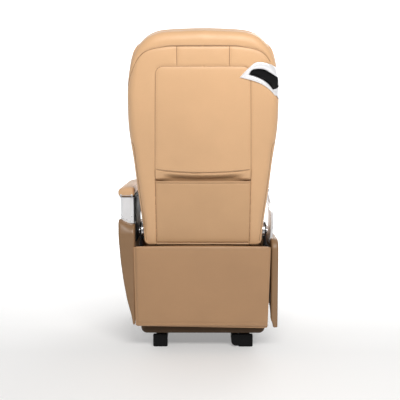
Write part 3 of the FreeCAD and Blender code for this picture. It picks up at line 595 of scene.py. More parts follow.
def cover_columns(step, turn):
    """Grid places from one side to the other, closer where the edge turns."""
    half = list(np.linspace(0, 1, int(LIP_HALF / step) + 1) * PANEL_SHARE)
    outer = list(np.linspace(0, 0.66, int(60 / step) + 1)[1:]) + list(0.66 + 0.34 * np.sin(turn[1:]))
    half += [PANEL_SHARE + 0.32 * f for f in outer]
    return np.array([-u for u in reversed(half[1:])] + half)


def cover_rows(step, turn):
    """Pairs of a band's number and the share of the way through it."""
    middle = np.array([0.0])
    vs = []
    for k in range(len(ROWS) - 1):
        span = abs(ROWS[k + 1][1](middle)[0] - ROWS[k][1](middle)[0])
        count = max(3, int(span / step))
        part = np.linspace(0, 1, count, endpoint=False)
        if k == 0:
            edge = EDGE_R / span
            rest = np.linspace(edge, 1, count, endpoint=False)
            part = np.concatenate([edge * (1 - np.cos(turn[:-1])), rest])
        if k == len(ROWS) - 2:
            part = np.concatenate([np.linspace(0, 0.48, 8), 0.48 + 0.52 * np.sin(turn[1:])])
        vs += [(k, f) for f in part]
    return vs


def cover_grid():
    step = 4.0
    turn = np.linspace(0, math.pi / 2, 9)
    us = cover_columns(step, turn)
    a = np.abs(us)
    xs, ts = [], []
    for k, f in cover_rows(step, turn):
        t_side = ROWS[k][0] * (1 - f) + ROWS[k + 1][0] * f
        wide, seam = half_width(t_side), min(seam_x(t_side), 0.72 * half_width(t_side))
        beyond = seam + (a - PANEL_SHARE) / 0.32 * (wide - seam)
        x = np.where(a <= PANEL_SHARE, a / PANEL_SHARE * seam, beyond) * np.sign(us)
        t = ROWS[k][1](x) * (1 - f) + ROWS[k + 1][1](x) * f
        edge = ease(a, 0.78, 1.0)
        held = 1 - f if k == len(ROWS) - 2 else 1.0
        xs.append(x)
        ts.append(t * (1 - edge * held) + t_side * edge * held)
    return np.array(xs), np.array(ts)


def back_cover():
    x, t = cover_grid()
    n = back_height(x.ravel(), t.ravel()).reshape(x.shape)
    n += ripple(x, n, t, 70.0, 0.9)
    nr, nc = x.shape
    for border in ((slice(None), 0), (slice(None), -1), (0, slice(None)), (-1, slice(None))):
        n[border] = BACK_REAR - edge_radius(t[border])
    notch = 9.0 * np.exp(-((t - 572.0) / 9.0) ** 2) * ease(-x, 236, 262)
    x = x + notch
    t = t - 9.0 * ease(t, 690.0, 745.0) * (1 - ease(np.abs(x), 80.0, 200.0))

    def keep(r, c):
        cx = 0.25 * (x[r, c] + x[r, c + 1] + x[r + 1, c] + x[r + 1, c + 1])
        ct = 0.25 * (t[r, c] + t[r, c + 1] + t[r + 1, c] + t[r + 1, c + 1])
        return not (abs(cx) < seam_x(ct) - 0.5 and FOOT_T + 10 < ct < lip(cx))

    verts = [as_points(x, n, t)]
    faces = grid_faces(nr, nc, keep=keep)
    rim = border_of(nr, nc)
    loop = [r * nc + c for r, c in rim]
    base = np.array([(x[r, c], t[r, c]) for r, c in rim])
    tangent = np.roll(base, -1, axis=0) - np.roll(base, 1, axis=0)
    outward = np.stack([tangent[:, 1], -tangent[:, 0]], 1) / np.linalg.norm(tangent, axis=1)[:, None]
    count = nr * nc
    for depth, push in COVER_RINGS:
        ring = base + outward * push
        verts.append(as_points(ring[:, 0], depth, ring[:, 1]))
        loop = next_ring(faces, loop, count)
        count += len(loop)
    obj = make("back_cover", leaned(np.vstack(verts)), faces, "leather")
    fold_rim(obj)
    solid_sheet(obj, 0.003)
    return hand_over(obj, "backrest", "leather", "back_shell")


def fold_rim(obj):
    """Folds the edge of the pocket's hole inwards, as turned-in leather."""
    bm = bmesh.new()
    bm.from_mesh(obj.data)
    for drop in (0.0025, 0.021):
        edges = []
        for e in bm.edges:
            if e.is_boundary:
                x, n, t = local((e.verts[0].co + e.verts[1].co) / 2)
                if n > 20 and abs(x) < 190 and -22 < t < 290:
                    edges.append(e)
        made = bmesh.ops.extrude_edge_only(bm, edges=edges)["geom"]
        for v in (g for g in made if isinstance(g, bmesh.types.BMVert)):
            v.co += Vector(TO_FRONT) * drop
            v.co.x -= math.copysign(MM, v.co.x)
    bmesh.ops.recalc_face_normals(bm, faces=bm.faces)
    bm.to_mesh(obj.data)
    bm.free()


SCOOP_FALL = [(1.5, -2.2), (0.2, -1.9), (-1.2, -0.9), (-3, 0.3), (-5.5, 0.7), (-8, 0.0), (-11, -2.0),
              (-14, -5.0), (-17, -8.5), (-20, -12), (-23, -15), (-26, -17.5), (-31, -19.5), (-44, -21),
              (-70, -21)]


def scoop_lining():
    """The soft hollow above the pocket's edge: a curved sheet from the lip down behind the panel."""
    xs = np.linspace(-173, 173, 110)
    verts = []
    for dt, dn in SCOOP_FALL:
        t = lip(xs) + dt
        behind = ease(POCKET_T + 1.0 - t, 0, 5)
        side = 1 - 0.9 * ease(np.abs(xs), 96, 170)
        depth = np.where(dn < 0, dn * np.maximum(side, behind), dn * side)
        depth = np.minimum(depth, -(3.5 + 6.0 * side) * behind + 2.0 * (1 - behind))
        verts.append(as_points(xs, BACK_REAR + depth - 0.4, t))
    obj = make("pocket_scoop", leaned(np.vstack(verts)), grid_faces(len(SCOOP_FALL), len(xs)), "leather")
    solid_sheet(obj, 0.0015)
    hand_over(obj, "backrest", "leather")


def pocket_panel():
    low, top, half = FOOT_T + 10, POCKET_T, 172.5
    edge = [168, 170.5, 172, half]
    xs = np.concatenate([[-x for x in reversed(edge)], np.linspace(-165, 165, 84), edge])
    hem = [top - 9, top - 7, top - 5, top - 2.5, top - 0.8, top]
    ts = np.concatenate([[low, low + 2], np.linspace(low + 6, top - 12, 56), hem])
    x, t = np.meshgrid(xs, ts)
    x = x / half * (seam_x(t) - 0.6)
    d = np.minimum(seam_x(t) - np.abs(x), t - low + 2)
    n = BACK_REAR + 1.0 - 4.0 * np.exp(-d / 2.5) - 2.0 * np.exp(-d / 14.0)
    n += 2.2 * np.cos(np.clip(x / LIP_HALF, -1, 1) * math.pi / 2) * ease(t, 60, POCKET_T)
    n -= 1.8 * np.exp(-((t - (top - 8)) / 2.0) ** 2)
    n += 0.9 * np.exp(-((t - (top - 2.5)) / 2.5) ** 2)
    n += ripple(x, n, t, 60.0, 0.9, 5.0)
    faces = grid_faces(len(ts), len(xs))
    # the pocket panel takes the darkened leather, painted shade
    obj = make("pocket_panel", leaned(as_points(x, n, t)), faces, "leather_pocket")
    solid_sheet(obj, 0.0028)
    return hand_over(obj, "backrest", "leather", "back_pocket")


# The bezel and its dark insert: shares of the way in, with the height above or below the back's surface.
BEZEL_PROFILE = [(-0.03, -9.0), (-0.02, 0.0), (0.03, 2.6), (0.14, 4.0), (0.35, 4.6), (0.62, 4.0), (0.84, 2.2),
                 (0.96, -0.6), (1.0, -4.5), (1.01, -14.0)]
INSERT_PROFILE = [(1.03, -6.0), (1.0, -7.0), (0.92, -10.0), (0.8, -12.5), (0.6, -14.5), (0.35, -15.5),
                  (0.12, -16.0), (0.0, -16.0)]


def to_edge(loop, start):
    """Carries the outboard end of a loop out to the back's edge."""
    reach = half_width(loop[:, 1]) - 0.6
    k = ease(-loop[:, 0], start, start + 10)
    return np.stack([loop[:, 0] * (1 - k) - reach * k, loop[:, 1]], 1)


def eye_piece(name, rings, material, node, merge=0.00001):
    faces = grid_faces(len(rings), len(OPEN_LOOP), wrap=True)
    obj = make(name, leaned(np.vstack(rings)), faces, material, merge)
    solid_sheet(obj, 0.002)
    hand_over(obj, "backrest", material, node)


def shoulder_bezel():
    outer, eye = to_edge(BEZEL_LOOP, 248.0), to_edge(OPEN_LOOP, 254.0)
    rings = []
    for k, lift in BEZEL_PROFILE:
        ring = outer * (1 - k) + eye * k
        x = np.maximum(ring[:, 0], 0.5 - half_width(ring[:, 1]))
        rings.append(as_points(x, plain_height(x, ring[:, 1]) + lift, ring[:, 1]))
    eye_piece("bezel_ring", rings, "silver_paint", "shoulder_bezel")
    centre = OPEN_LOOP.mean(axis=0)
    rings = []
    for k, sink in INSERT_PROFILE:
        ring = centre + (eye - centre) * k
        x = np.maximum(ring[:, 0], 2.5 - half_width(ring[:, 1]))
        flush = 1 - 0.9 * ease(-x, 232, 256)
        rings.append(as_points(x, plain_height(x, ring[:, 1]) + sink * flush, ring[:, 1]))
    eye_piece("bezel_insert", rings, "black_plastic", "shoulder_insert", 0.0004)


# ---- the rear panel of the base -----------------------------------------------------------------
def rear_panel():
    """A leathered board, slightly skewed, with soft edges, a hem and a dart at each upper corner."""
    low, high = box_mm("rear_panel")
    front, rear, z0, z1 = low[1], high[1], low[2], high[2]
    wide_low, wide_high, r = 249.0, 254.0, 9.0
    turn = np.linspace(0, math.pi / 2, 6)
    curl = 0.016 * (1 - np.cos(turn))
    us = np.concatenate([-1 + curl[:-1], np.linspace(-0.984, 0.984, 110), 1 - curl[::-1][1:]])
    edge = r / (z1 - z0)
    curl = edge * (1 - np.cos(turn))
    vs = np.concatenate([curl[:-1], np.linspace(edge, 1 - edge, 70), 1 - curl[::-1][1:]])
    u, v = np.meshgrid(us, vs)
    half = wide_low + (wide_high - wide_low) * v
    x = u * half
    x = x + 6.0 * ease(u, 0.0, 1.0) + 5.0 * (1 - v) * ease(-u, 0.0, 1.0)
    z = z0 + (z1 - z0) * v
    z = z - 8.0 * (1 - v) ** 1.5 * (1 - u) / 2
    round_off = 4.0 * (np.clip((np.abs(u) - 0.93) / 0.07, 0, 1) ** 2)
    z = z + round_off * np.where(v > 0.5, -(v - 0.5) * 2, (0.5 - v) * 2) * 0.9
    z = z + 3.0 * ease(v, 0.6, 1.0) * np.cos(np.clip(u, -1, 1) * math.pi / 2)
    d = np.maximum(np.minimum(half - np.abs(x), np.minimum(z - z0, z1 + 3 - z)), 0)
    near = np.minimum(d, r)
    y = rear - r + np.sqrt(np.maximum(r ** 2 - (r - near) ** 2, 0)) + 2.0 * ease(d, 4, 60)
    hem = np.abs(z - (z0 + 13.0))
    y -= 2.2 * np.exp(-(hem / 2.6) ** 2) + 1.2 * np.exp(-hem / 9.0)
    for line in pair((-247.0, z1 - 9.0), (-231.0, z1 - 10.0)):
        y -= 1.8 * np.exp(-(distance_to(x, z, line) / 2.4) ** 2)
    y += ripple(x, y, z, 80.0, 1.0, 9.0)
    nr, nc = x.shape
    points = [as_points(x, y, z)]
    faces = grid_faces(nr, nc)
    rim = border_of(nr, nc)
    loop = [r * nc + c for r, c in rim]
    ring = np.array([(x[r, c], z[r, c]) for r, c in rim])
    middle = ring.mean(axis=0)
    count = nr * nc
    for depth, shrink in ((front + 4, 1.0), (front + 0.5, 0.992), (front, 0.98)):
        p = middle + (ring - middle) * shrink
        points.append(as_points(p[:, 0], depth, p[:, 1]))
        loop = next_ring(faces, loop, count)
        count += len(loop)
    faces.append(loop[::-1])
    # the board takes the darkened leather, painted shade
    obj = make("rear_board", np.vstack(points) * MM, faces, "leather_low")
    hand_over(obj, "seat", "leather", "rear_panel")


# ---- the moulded side covers --------------------------------------------------------------------
def arc_points(a, m, b, count=14):
    """Points of the arc through three points of a plane."""
    (ax, ay), (bx, by), (cx, cy) = a, m, b
    d = 2 * (ax * (by - cy) + bx * (cy - ay) + cx * (ay - by))
    a2, b2, c2 = ax ** 2 + ay ** 2, bx ** 2 + by ** 2, cx ** 2 + cy ** 2
    ux = (a2 * (by - cy) + b2 * (cy - ay) + c2 * (ay - by)) / d
    uy = (a2 * (cx - bx) + b2 * (ax - cx) + c2 * (bx - ax)) / d
    angles = [math.atan2(p[1] - uy, p[0] - ux) for p in (a, m, b)]
    turn = (angles[2] - angles[0]) % (2 * math.pi)
    if (angles[1] - angles[0]) % (2 * math.pi) > turn:
        turn -= 2 * math.pi
    r = math.hypot(ax - ux, ay - uy)
    at = [angles[0] + turn * k / count for k in range(count)]
    return [(ux + r * math.cos(s), uy + r * math.sin(s)) for s in at]


def cover_outline(top, front_top, tip):
    """One side cover seen from the side, as (y, z) in mm."""
    rear, r, front = 286.0, 44.0, -296
    on_arc = r * 0.293
    pts = [(rear, tip)]
    pts += arc_points((rear, top - r), (rear - on_arc, top - on_arc), (rear - r, top))
    pts += arc_points((-210, front_top), (-285, front_top - 36), (front, front_top - 100))
    pts += [(front, front_top - 100)]
    pts += arc_points((-276, 262), (-20, 196), (225, 156), 24)
    pts += arc_points((225, 156), (262, 128), (274, tip), 6)
    return pts + [(274, tip)]


# The left cover's outer face: x for each height.
FLARE_Z = [80, 135, 196, 269, 346, 422, 500]
FLARE_X = [262, 270, 286, 299, 309, 315, 319]
COVER_INNER, COVER_SIDE = 256.0, 257.5


def side_cover(name, node, outline, inner, outer, rounds):
    """A moulded cover with soft edges, from inner x to outer x, which follows the height."""
    verts = [(inner, y, z) for y, z in outline] + [(outer(z), y, z) for y, z in outline]
    count = len(outline)
    faces = []
    next_ring(faces, list(range(count)), count)
    faces += [tuple(range(count))[::-1], tuple(range(count, 2 * count))]
    # the covers' tan carries painted shade for their downward-facing sides
    obj = make(name, np.array(verts) * MM, faces, "tan_shell")
    bm = bmesh.new()
    bm.from_mesh(obj.data)
    flat = [f for f in bm.faces if len(f.verts) > 4]
    bmesh.ops.triangulate(bm, faces=flat)
    for low in np.arange(0.1, 0.5, 0.02):
        everything = bm.verts[:] + bm.edges[:] + bm.faces[:]
        bmesh.ops.bisect_plane(bm, geom=everything, plane_co=(0, 0, low), plane_no=(0, 0, 1))
    for v in bm.verts:
        on_outer = abs(v.co.x * 1000 - inner) > 1.5 or abs(v.co.x) > COVER_SIDE * MM
        v.co.x = (outer(v.co.z * 1000) if on_outer else inner) * MM
    bm.to_mesh(obj.data)
    bm.free()
    mod = obj.modifiers.new("even", "REMESH")
    mod.mode, mod.voxel_size = "VOXEL", 0.0035
    apply_all(obj)
    mod = obj.modifiers.new("soft", "SMOOTH")
    mod.factor, mod.iterations = 0.5, rounds
    apply_all(obj)
    smooth(obj.data)
    return hand_over(obj, "seat", "tan_shell", node)


def side_covers():
    outline = cover_outline(486.0, 436.0, 100.0)
    left = side_cover("side_cover_left", "side_shield_left", outline, COVER_INNER,
                      lambda z: float(np.interp(z, FLARE_Z, FLARE_X)) + 1.0, 16)
    co = coords(left)
    rise = 0.017 * ease(co[:, 2], 0.452, 0.484) * ease(co[:, 0], 0.268, 0.318) * ease(co[:, 1], -0.16, 0.02)
    co[:, 2] += rise
    set_coords(left, co)
    outline = cover_outline(430.0, 418.0, 90.0)
    right = side_cover("side_cover_right", "side_shield_right", outline, -COVER_INNER, lambda z: -283.5, 22)
    co = coords(right)
    co[:, 0] -= 0.007 * ease(-co[:, 2], -0.128, -0.1) * ease(co[:, 0], -0.276, -0.258)
    set_coords(right, co)


# ---- hard parts that keep their CAD shape -------------------------------------------------------
SLOT_OF = {s["node"]: s["material_slot"] for s in frame["record"]["subparts"]}
BEVELS = {"tan_shell": 2.5, "silver_paint": 2.0, "black_plastic": 1.5, "dark_steel": 0.8, "bright_steel": 0.6,
          "motor_casing": 1.2, "plywood": 0.8, "switch_grey": 0.5}
# the skirt takes the painted-shadow brown in place of its slot's material
PAINTED_SHADOW_OVERRIDES = {"base_skirt": "shadow_tan"}


def dress_hard_nodes():
    for name, obj in NODES.items():
        material = PAINTED_SHADOW_OVERRIDES.get(name, SLOT_OF.get(name))
        if obj.hide_render or material not in MAT or material == "leather":
            continue
        obj.data.materials.clear()
        obj.data.materials.append(MAT[material])
        width = BEVELS.get(material, 0)
        if width:
            mod = obj.modifiers.new("edge", "BEVEL")
            mod.width, mod.segments, mod.limit_method = width * MM, 2, "ANGLE"
            mod.angle_limit = math.radians(50)
            mod.harden_normals = False


# ---- stuffed pieces -----------------------------------------------------------------------------
def box_mm(node):
    """A CAD node's box, as its low and high corners in mm."""
    return [np.array(corner) * 1000 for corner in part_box(node)]


def block(lo, hi, radius, frame_fn=None):
    """A rounded block in mm, in the row frame or through frame_fn."""
    bm = bmesh.new()
    bmesh.ops.create_cube(bm, size=1.0)
    lo, hi = np.array(lo, float), np.array(hi, float)
    for v in bm.verts:
        v.co = Vector((lo + hi) / 2 + np.array(v.co) * (hi - lo))
    bmesh.ops.bevel(bm, geom=bm.edges[:], offset=radius, segments=4, profile=0.5, affect="EDGES")
    bmesh.ops.recalc_face_normals(bm, faces=bm.faces)
    for v in bm.verts:
        p = np.array(v.co)[None]
        v.co = Vector(frame_fn(p)[0] if frame_fn else p[0] * MM)
    mesh = bpy.data.meshes.new("block")
    bm.to_mesh(mesh)
    bm.free()
    return mesh


def coords(obj, what="co"):
    flat = np.empty(len(obj.data.vertices) * 3)
    obj.data.vertices.foreach_get(what, flat)
    return flat.reshape(-1, 3)


def set_coords(obj, co):
    obj.data.vertices.foreach_set("co", np.asarray(co, float).ravel())
    obj.data.update()


SIDEWAYS = 0.0025       # the most that swelling may move a point towards its neighbours, in metres


def stuffed(name, mesh, body, node, out, cap=9.0, pressure=4.0, voxel=6.0, firm=None):
    """Remeshes a form and swells it with cloth under pressure, mostly along out."""
    obj = put(name, mesh, "leather")
    mod = obj.modifiers.new("even", "REMESH")
    mod.mode, mod.voxel_size = "VOXEL", voxel * MM
    apply_all(obj)
    start = coords(obj)
    swell(obj, pressure, firm(start) if firm else None)
    moved = coords(obj) - start
    out = np.array(out)
    along = np.clip(moved @ out, -0.002, cap * MM)[:, None] * out
    moved -= (moved @ out)[:, None] * out
    length = np.linalg.norm(moved, axis=1)[:, None]
    moved *= np.minimum(1.0, SIDEWAYS / np.maximum(length, 1e-9))
    set_coords(obj, start + along + moved)
    sub = obj.modifiers.new("fine", "SUBSURF")
    sub.levels = sub.render_levels = 1
    apply_all(obj)
    smooth(obj.data)
    hand_over(obj, body, "leather", node)
    return obj


def swell(obj, pressure, held=None):
    cloth = obj.modifiers.new("Cloth", "CLOTH")
    s = cloth.settings
    s.quality, s.mass = 5, 0.3
    s.tension_stiffness = s.compression_stiffness = 12.0
    s.shear_stiffness, s.bending_stiffness = 6.0, 0.8
    s.use_pressure, s.uniform_pressure_force = True, pressure
    s.effector_weights.gravity = 0.0
    if held is not None:
        group = obj.vertex_groups.new(name="held")
        group.add([int(k) for k in np.nonzero(held)[0]], 1.0, "REPLACE")
        s.vertex_group_mass = "held"
    last = 20
    cloth.point_cache.frame_start, cloth.point_cache.frame_end = 1, last
    for k in range(1, last + 1):
        bpy.context.scene.frame_set(k)
    apply_all(obj)
    bpy.context.scene.frame_set(1)


def press_in(obj, lines, depth, width, direction, to_mm, broad=0.35):
    """Sews channels into a stuffed piece: lines of (a, b) points in the plane that to_mm gives."""
    co = coords(obj)
    direction = np.asarray(direction, float)
    plane = to_mm(co)
    facing = np.clip(coords(obj, "normal") @ direction, 0, 1) ** 0.5
    total = np.zeros(len(co))
    for line in lines:
        ds = distance_to(plane[:, 0], plane[:, 1], np.asarray(line, float))
        total = np.maximum(total, np.exp(-(ds / width) ** 2) + broad * np.exp(-ds / 16.0))
    set_coords(obj, co - direction * (total * facing * depth * MM)[:, None])


# The three planes in which channels are drawn, in mm.
def from_above(co):
    return co[:, :2] * 1000


def from_front(co):
    return co[:, [0, 2]] * 1000


def on_back_plane(co):
    x, _, t = local(co.T)
    return np.stack([x, t], 1)


# ---- welts and stitches -------------------------------------------------------------------------
DOWN = (0, 0, -1)
FINE_STITCH, PAD_STITCH = (0.0042, 0.0022), (0.0045, 0.0025)     # length of a stitch, and the gap


def thread_lines(name, owner, lines, lift, body, material, radius, toward=DOWN, stitch=None):
    """Cords, or stitches, laid on a piece: rows of 3-D points dropped onto its surface along toward."""
    data = owner.data
    faces = [tuple(p.vertices) for p in data.polygons]
    tree = BVHTree.FromPolygons([v.co for v in data.vertices], faces)
    toward = Vector(toward).normalized()
    spacing, jump = 0.004, 0.016
    verts, faces = [], []
    for line in lines:
        length = np.linalg.norm(np.diff(line, axis=0), axis=1).sum()
        hits = []
        for p in resample(line, max(2, int(length / spacing))):
            point, normal, _, _ = tree.ray_cast(Vector(p), toward)
            if point is None:
                hits.append(None)
                continue
            if normal.dot(toward) > 0:
                normal = -normal
            hits.append((point + normal * lift, normal))
        run = []
        for hit in hits + [None]:
            if hit is not None and (not run or (hit[0] - run[-1][0]).length < jump):
                run.append(hit)
                continue
            if len(run) > 2:
                add_runs(verts, faces, run, radius * MM, stitch)
            run = [hit] if hit is not None else []
    if verts:
        hand_over(make(name, verts, faces, material, merge=None), body, "leather")


def add_runs(verts, faces, run, radius, stitch):
    points = np.array([list(p) for p, _ in run])
    normals = np.array([list(n) for _, n in run])
    length = np.concatenate([[0], np.cumsum(np.linalg.norm(np.diff(points, axis=0), axis=1))])
    pieces = [length]
    if stitch:
        dash, gap = stitch
        pieces = [np.linspace(a, a + dash, 3) for a in np.arange(0, length[-1] - dash, dash + gap)]
    for at in pieces:
        p = np.stack([np.interp(at, length, points[:, k]) for k in range(3)], 1)
        n = np.stack([np.interp(at, length, normals[:, k]) for k in range(3)], 1)
        tube(verts, faces, p, n, radius)


def tube(verts, faces, p, n, radius):
    """A thin six-sided cord with drawn-in ends."""
    sides, last = 6, len(p) - 1
    base = len(verts)
    for k in range(len(p)):
        along = Vector(p[min(k + 1, last)] - p[max(k - 1, 0)]).normalized()
        side = along.cross(Vector(n[k])).normalized()
        up = side.cross(along).normalized()
        taper = 0.55 if k in (0, last) else 1.0
        for j in range(sides):
            a = 2 * math.pi * j / sides
            verts.append(Vector(p[k]) + (side * math.cos(a) + up * math.sin(a)) * radius * taper)
    for k in range(last):
        a, b = base + k * sides, base + (k + 1) * sides
        for j in range(sides):
            i = (j + 1) % sides
            faces.append((a + j, a + i, b + i, b + j))
    faces.append(tuple(base + j for j in range(sides))[::-1])
    faces.append(tuple(base + last * sides + j for j in range(sides)))


def offset_line(line, amount):
    line = np.asarray(line, float)
    d = np.gradient(line, axis=0)
    d /= np.maximum(np.linalg.norm(d, axis=1)[:, None], 1e-9)
    return line + np.stack([-d[:, 1], d[:, 0]], 1) * amount


def on_back(line, n=160.0):
    """Points (x, t) held well clear behind the back, or in front of it with n below nought."""
    line = np.asarray(line, float)
    return leaned(as_points(line[:, 0], n, line[:, 1]))


def before_back(line):
    return on_back(line, -160.0)


def across(half, at):
    return np.array([(-half, at), (half, at)], float)


def welts(name, owner, lines, body, radius=1.3, lift=0.0, toward=DOWN):
    thread_lines(name, owner, lines, lift, body, "seam", radius, toward)


def stitches(name, owner, lines, body, radius=0.55, toward=DOWN, stitch=PAD_STITCH):
    thread_lines(name, owner, lines, 0.0001, body, "thread", radius, toward, stitch)


def sew_back(cover, panel):
    """Welts in the back's seams, with a row of stitches beside each."""
    def along_lip(half, above):
        return np.array([(x, lip(np.array([x]))[0] + above) for x in np.linspace(-half, half, 60)])

    top = np.vstack([(TOP_SEAM[:1] * [-1, 1]), TOP_SEAM])[1:]
    right_top = TOP_SEAM[TOP_SEAM[:, 1] > 652] * [-1, 1]
    inner = resample(np.array(INNER, float), 260)
    cords = [top, right_top] + both_sides(inner) + pair((-TAB_X, 644.0), (-TAB_X, 710.0))
    cords += both_sides(SIDE_SEAM)
    cords.append(along_lip(170, 3.0))
    welts("back_welts", cover, [on_back(c) for c in cords], "backrest", 1.25, -0.0002, TO_FRONT)
    rows = [offset_line(*pick) for pick in ((top, 5.0), (right_top, -5.0), (top, -5.0), (right_top, 5.0))]
    rows += [offset_line(inner, -4.5), offset_line(inner * [-1, 1], 4.5)]
    rows += [np.array([(x + o, 647.0), (x + o, 706.0)]) for x in (-TAB_X, TAB_X) for o in (-4, 4)]
    rows.append(along_lip(166, 8.0))
    stitches("back_stitches", cover, [on_back(r) for r in rows], "backrest", 0.5, TO_FRONT, FINE_STITCH)
    hem = [on_back(across(170.0, POCKET_T - 8))]
    welts("pocket_welt", panel, hem, "backrest", 0.9, -0.0004, TO_FRONT)
    hem = [on_back(across(168.0, POCKET_T - 11.5))]
    stitches("pocket_stitches", panel, hem, "backrest", 0.5, TO_FRONT, FINE_STITCH)


# ---- the cushions -------------------------------------------------------------------------------
SEAT_ROWS, SEAT_TOP, ARM_TOP = (-0.215, -0.11, -0.005), 0.6, 0.9      # metres; heights well above the pads
SEW, LEG_ROWS = (-0.0045, 0.0045), (0.156, 0.22)
CHANNEL = 3.4                                                          # width of a sewn channel, in mm
UP, OUT = (0, 0, 1), (0, -1, 0)


def row_across(half, y, z):
    """Points from side to side, in metres."""
    return np.array([(x, y, z) for x in np.linspace(-half, half, 60)])


def row_along(x, start, end, z):
    return np.array([(x, y, z) for y in np.linspace(start, end, 60)])


def seat_cushions():
    lo, hi = box_mm("seat_cushion")
    underside = (lo[2] + 14) * MM
    pad = stuffed("seat_pad", block(lo + (4, 5, 4), hi - (4, 4, 12), 20), "seat", "seat_cushion", UP, cap=14,
                  firm=lambda p: p[:, 2] < underside)
    lines = [across(186, y * 1000) for y in SEAT_ROWS] + pair((150, -320), (142, 110))
    press_in(pad, lines, 7.0, CHANNEL, UP, from_above)
    press_in(pad, [across(186, 398)], 5.0, CHANNEL, OUT, from_front)
    rows = [row_across(0.172, y + o, SEAT_TOP) for y in SEAT_ROWS for o in SEW]
    stitches("seat_stitches", pad, rows, "seat")
    cords = [row_across(0.178, y, SEAT_TOP) for y in SEAT_ROWS]
    cords += [np.array([(s * (0.150 - 0.008 * f), -0.31 + 0.41 * f, SEAT_TOP) for f in np.linspace(0, 1, 60)])
              for s in (-1, 1)]
    welts("seat_welts", pad, cords, "seat")
    for side, name in ((1, "left"), (-1, "right")):
        node = "seat_bolster_" + name
        lo, hi = box_mm(node)
        underside = (lo[2] + 14) * MM
        bolster = stuffed("seat_side_" + name, block(lo + (3, 5, 4), hi - (3, 4, 10), 16), "seat", node, UP,
                          cap=10, firm=lambda p: p[:, 2] < underside)
        press_in(bolster, [[(side * 216, -316), (side * 216, 110)]], 4.5, 3.2, UP, from_above)
        cord = [row_along(side * 0.216, -0.31, 0.108, SEAT_TOP)]
        welts("seat_side_welt_" + name, bolster, cord, "seat", 1.2, 0.0002)


HEAD_LOW, HEAD_HIGH = 564.0, 736.0
# Each pad's name, its low and high corners in the back's frame, and the heights of its channels.
BACK_PADS = (("lumbar", (-155, -62, 11), (155, -20, 266), (90, 176)),
             ("shoulder", (-155, -56, 271), (155, -20, 559), (368, 462)))


def back_cushions():
    pads = []
    for name, low, high, rows in BACK_PADS:
        form = block(low, high, 16, leaned)
        pad = stuffed(name + "_pad", form, "backrest", name + "_cushion", TO_FRONT, cap=12)
        press_in(pad, [across(150, t) for t in rows], 6.5, CHANNEL, TO_FRONT, on_back_plane)
        pads.append(pad)
    for pad, (name, _, _, rows) in zip(pads, BACK_PADS):
        cords = [before_back([(x, t) for x in np.linspace(-146, 146, 50)]) for t in rows]
        welts(name + "_welts", pad, cords, "backrest", toward=TO_REAR)
        beside = [before_back([(x, t + o) for x in np.linspace(-142, 142, 50)])
                  for t in rows for o in (-4.5, 4.5)]
        stitches(name + "_stitches", pad, beside, "backrest", toward=TO_REAR)
    head = stuffed("head_pad", head_form(), "backrest", "head_cushion", TO_FRONT, cap=10)
    press_in(head, pair((135, HEAD_LOW), (128, HEAD_HIGH)), 6.0, 3.6, TO_FRONT, on_back_plane)
    press_in(head, [across(130, 648)], 4.5, CHANNEL, TO_FRONT, on_back_plane)
    rise = HEAD_HIGH - HEAD_LOW - 16
    cords = [before_back([(s * (135 - 7 * f), HEAD_LOW + 8 + rise * f) for f in np.linspace(0, 1, 40)])
             for s in (-1, 1)]
    cords.append(before_back([(x, 648) for x in np.linspace(-128, 128, 40)]))
    welts("head_welts", head, cords, "backrest", 1.2, toward=TO_REAR)
    for s, name in ((1, "left"), (-1, "right")):
        wing = stuffed("back_side_" + name, wing_form(s), "backrest", "back_bolster_" + name, TO_FRONT)
        line = [(s * wing_mid(t), t) for t in np.linspace(50, 548, 30)]
        press_in(wing, [line], 4.5, CHANNEL, TO_FRONT, on_back_plane)
        welts("back_side_welt_" + name, wing, [before_back(line)], "backrest", 1.2, 0.0002, TO_REAR)


def wing_mid(t):
    return 0.5 * (162 + half_width(t)) + 4


def flared(t):
    return min(252.0, half_width(t) - 4.0 + 15.0 * ease(t, 30, 110) * (1 - ease(t, 190, 400)))


def loft(sections):
    """A closed mesh through rings of equal length, capped at both ends."""
    count, last = len(sections[0]), len(sections) - 1
    faces = grid_faces(len(sections), count, wrap=True)
    faces += [tuple(range(count))[::-1], tuple(range(last * count, (last + 1) * count))]
    return build_mesh("loft", np.vstack(sections), faces)


def rounded_section(x0, x1, n0, n1, r0, r1):
    """From the flat rear n1 to the front n0, with front corners of radius r0 inside and r1 outside."""
    pts = [(x0, n1), (x0, n0 + r0)]
    for a in np.linspace(0.2, math.pi / 2, 5):
        pts.append((x0 + r0 * (1 - math.cos(a)), n0 + r0 * (1 - math.sin(a))))
    for a in np.linspace(0, math.pi / 2, 7):
        pts.append((x1 - r1 * (1 - math.sin(a)), n0 + r1 * (1 - math.cos(a))))
    return np.array(pts + [(x1, n1)])


def wing_form(s):
    sections = []
    for t in np.linspace(42, 555, 40):
        end = min(ease(t, 36, 90), 1 - ease(t, 520, 575) * 0.6)
        deep = -34 - 46 * end * (1 - 0.25 * ease(t, 300, 560))
        sec = rounded_section(162, flared(t) - 3, deep, -20, 14, 30 if deep < -52 else 12)
        sections.append(leaned(as_points(s * sec[:, 0], sec[:, 1], t)))
    return loft(sections)


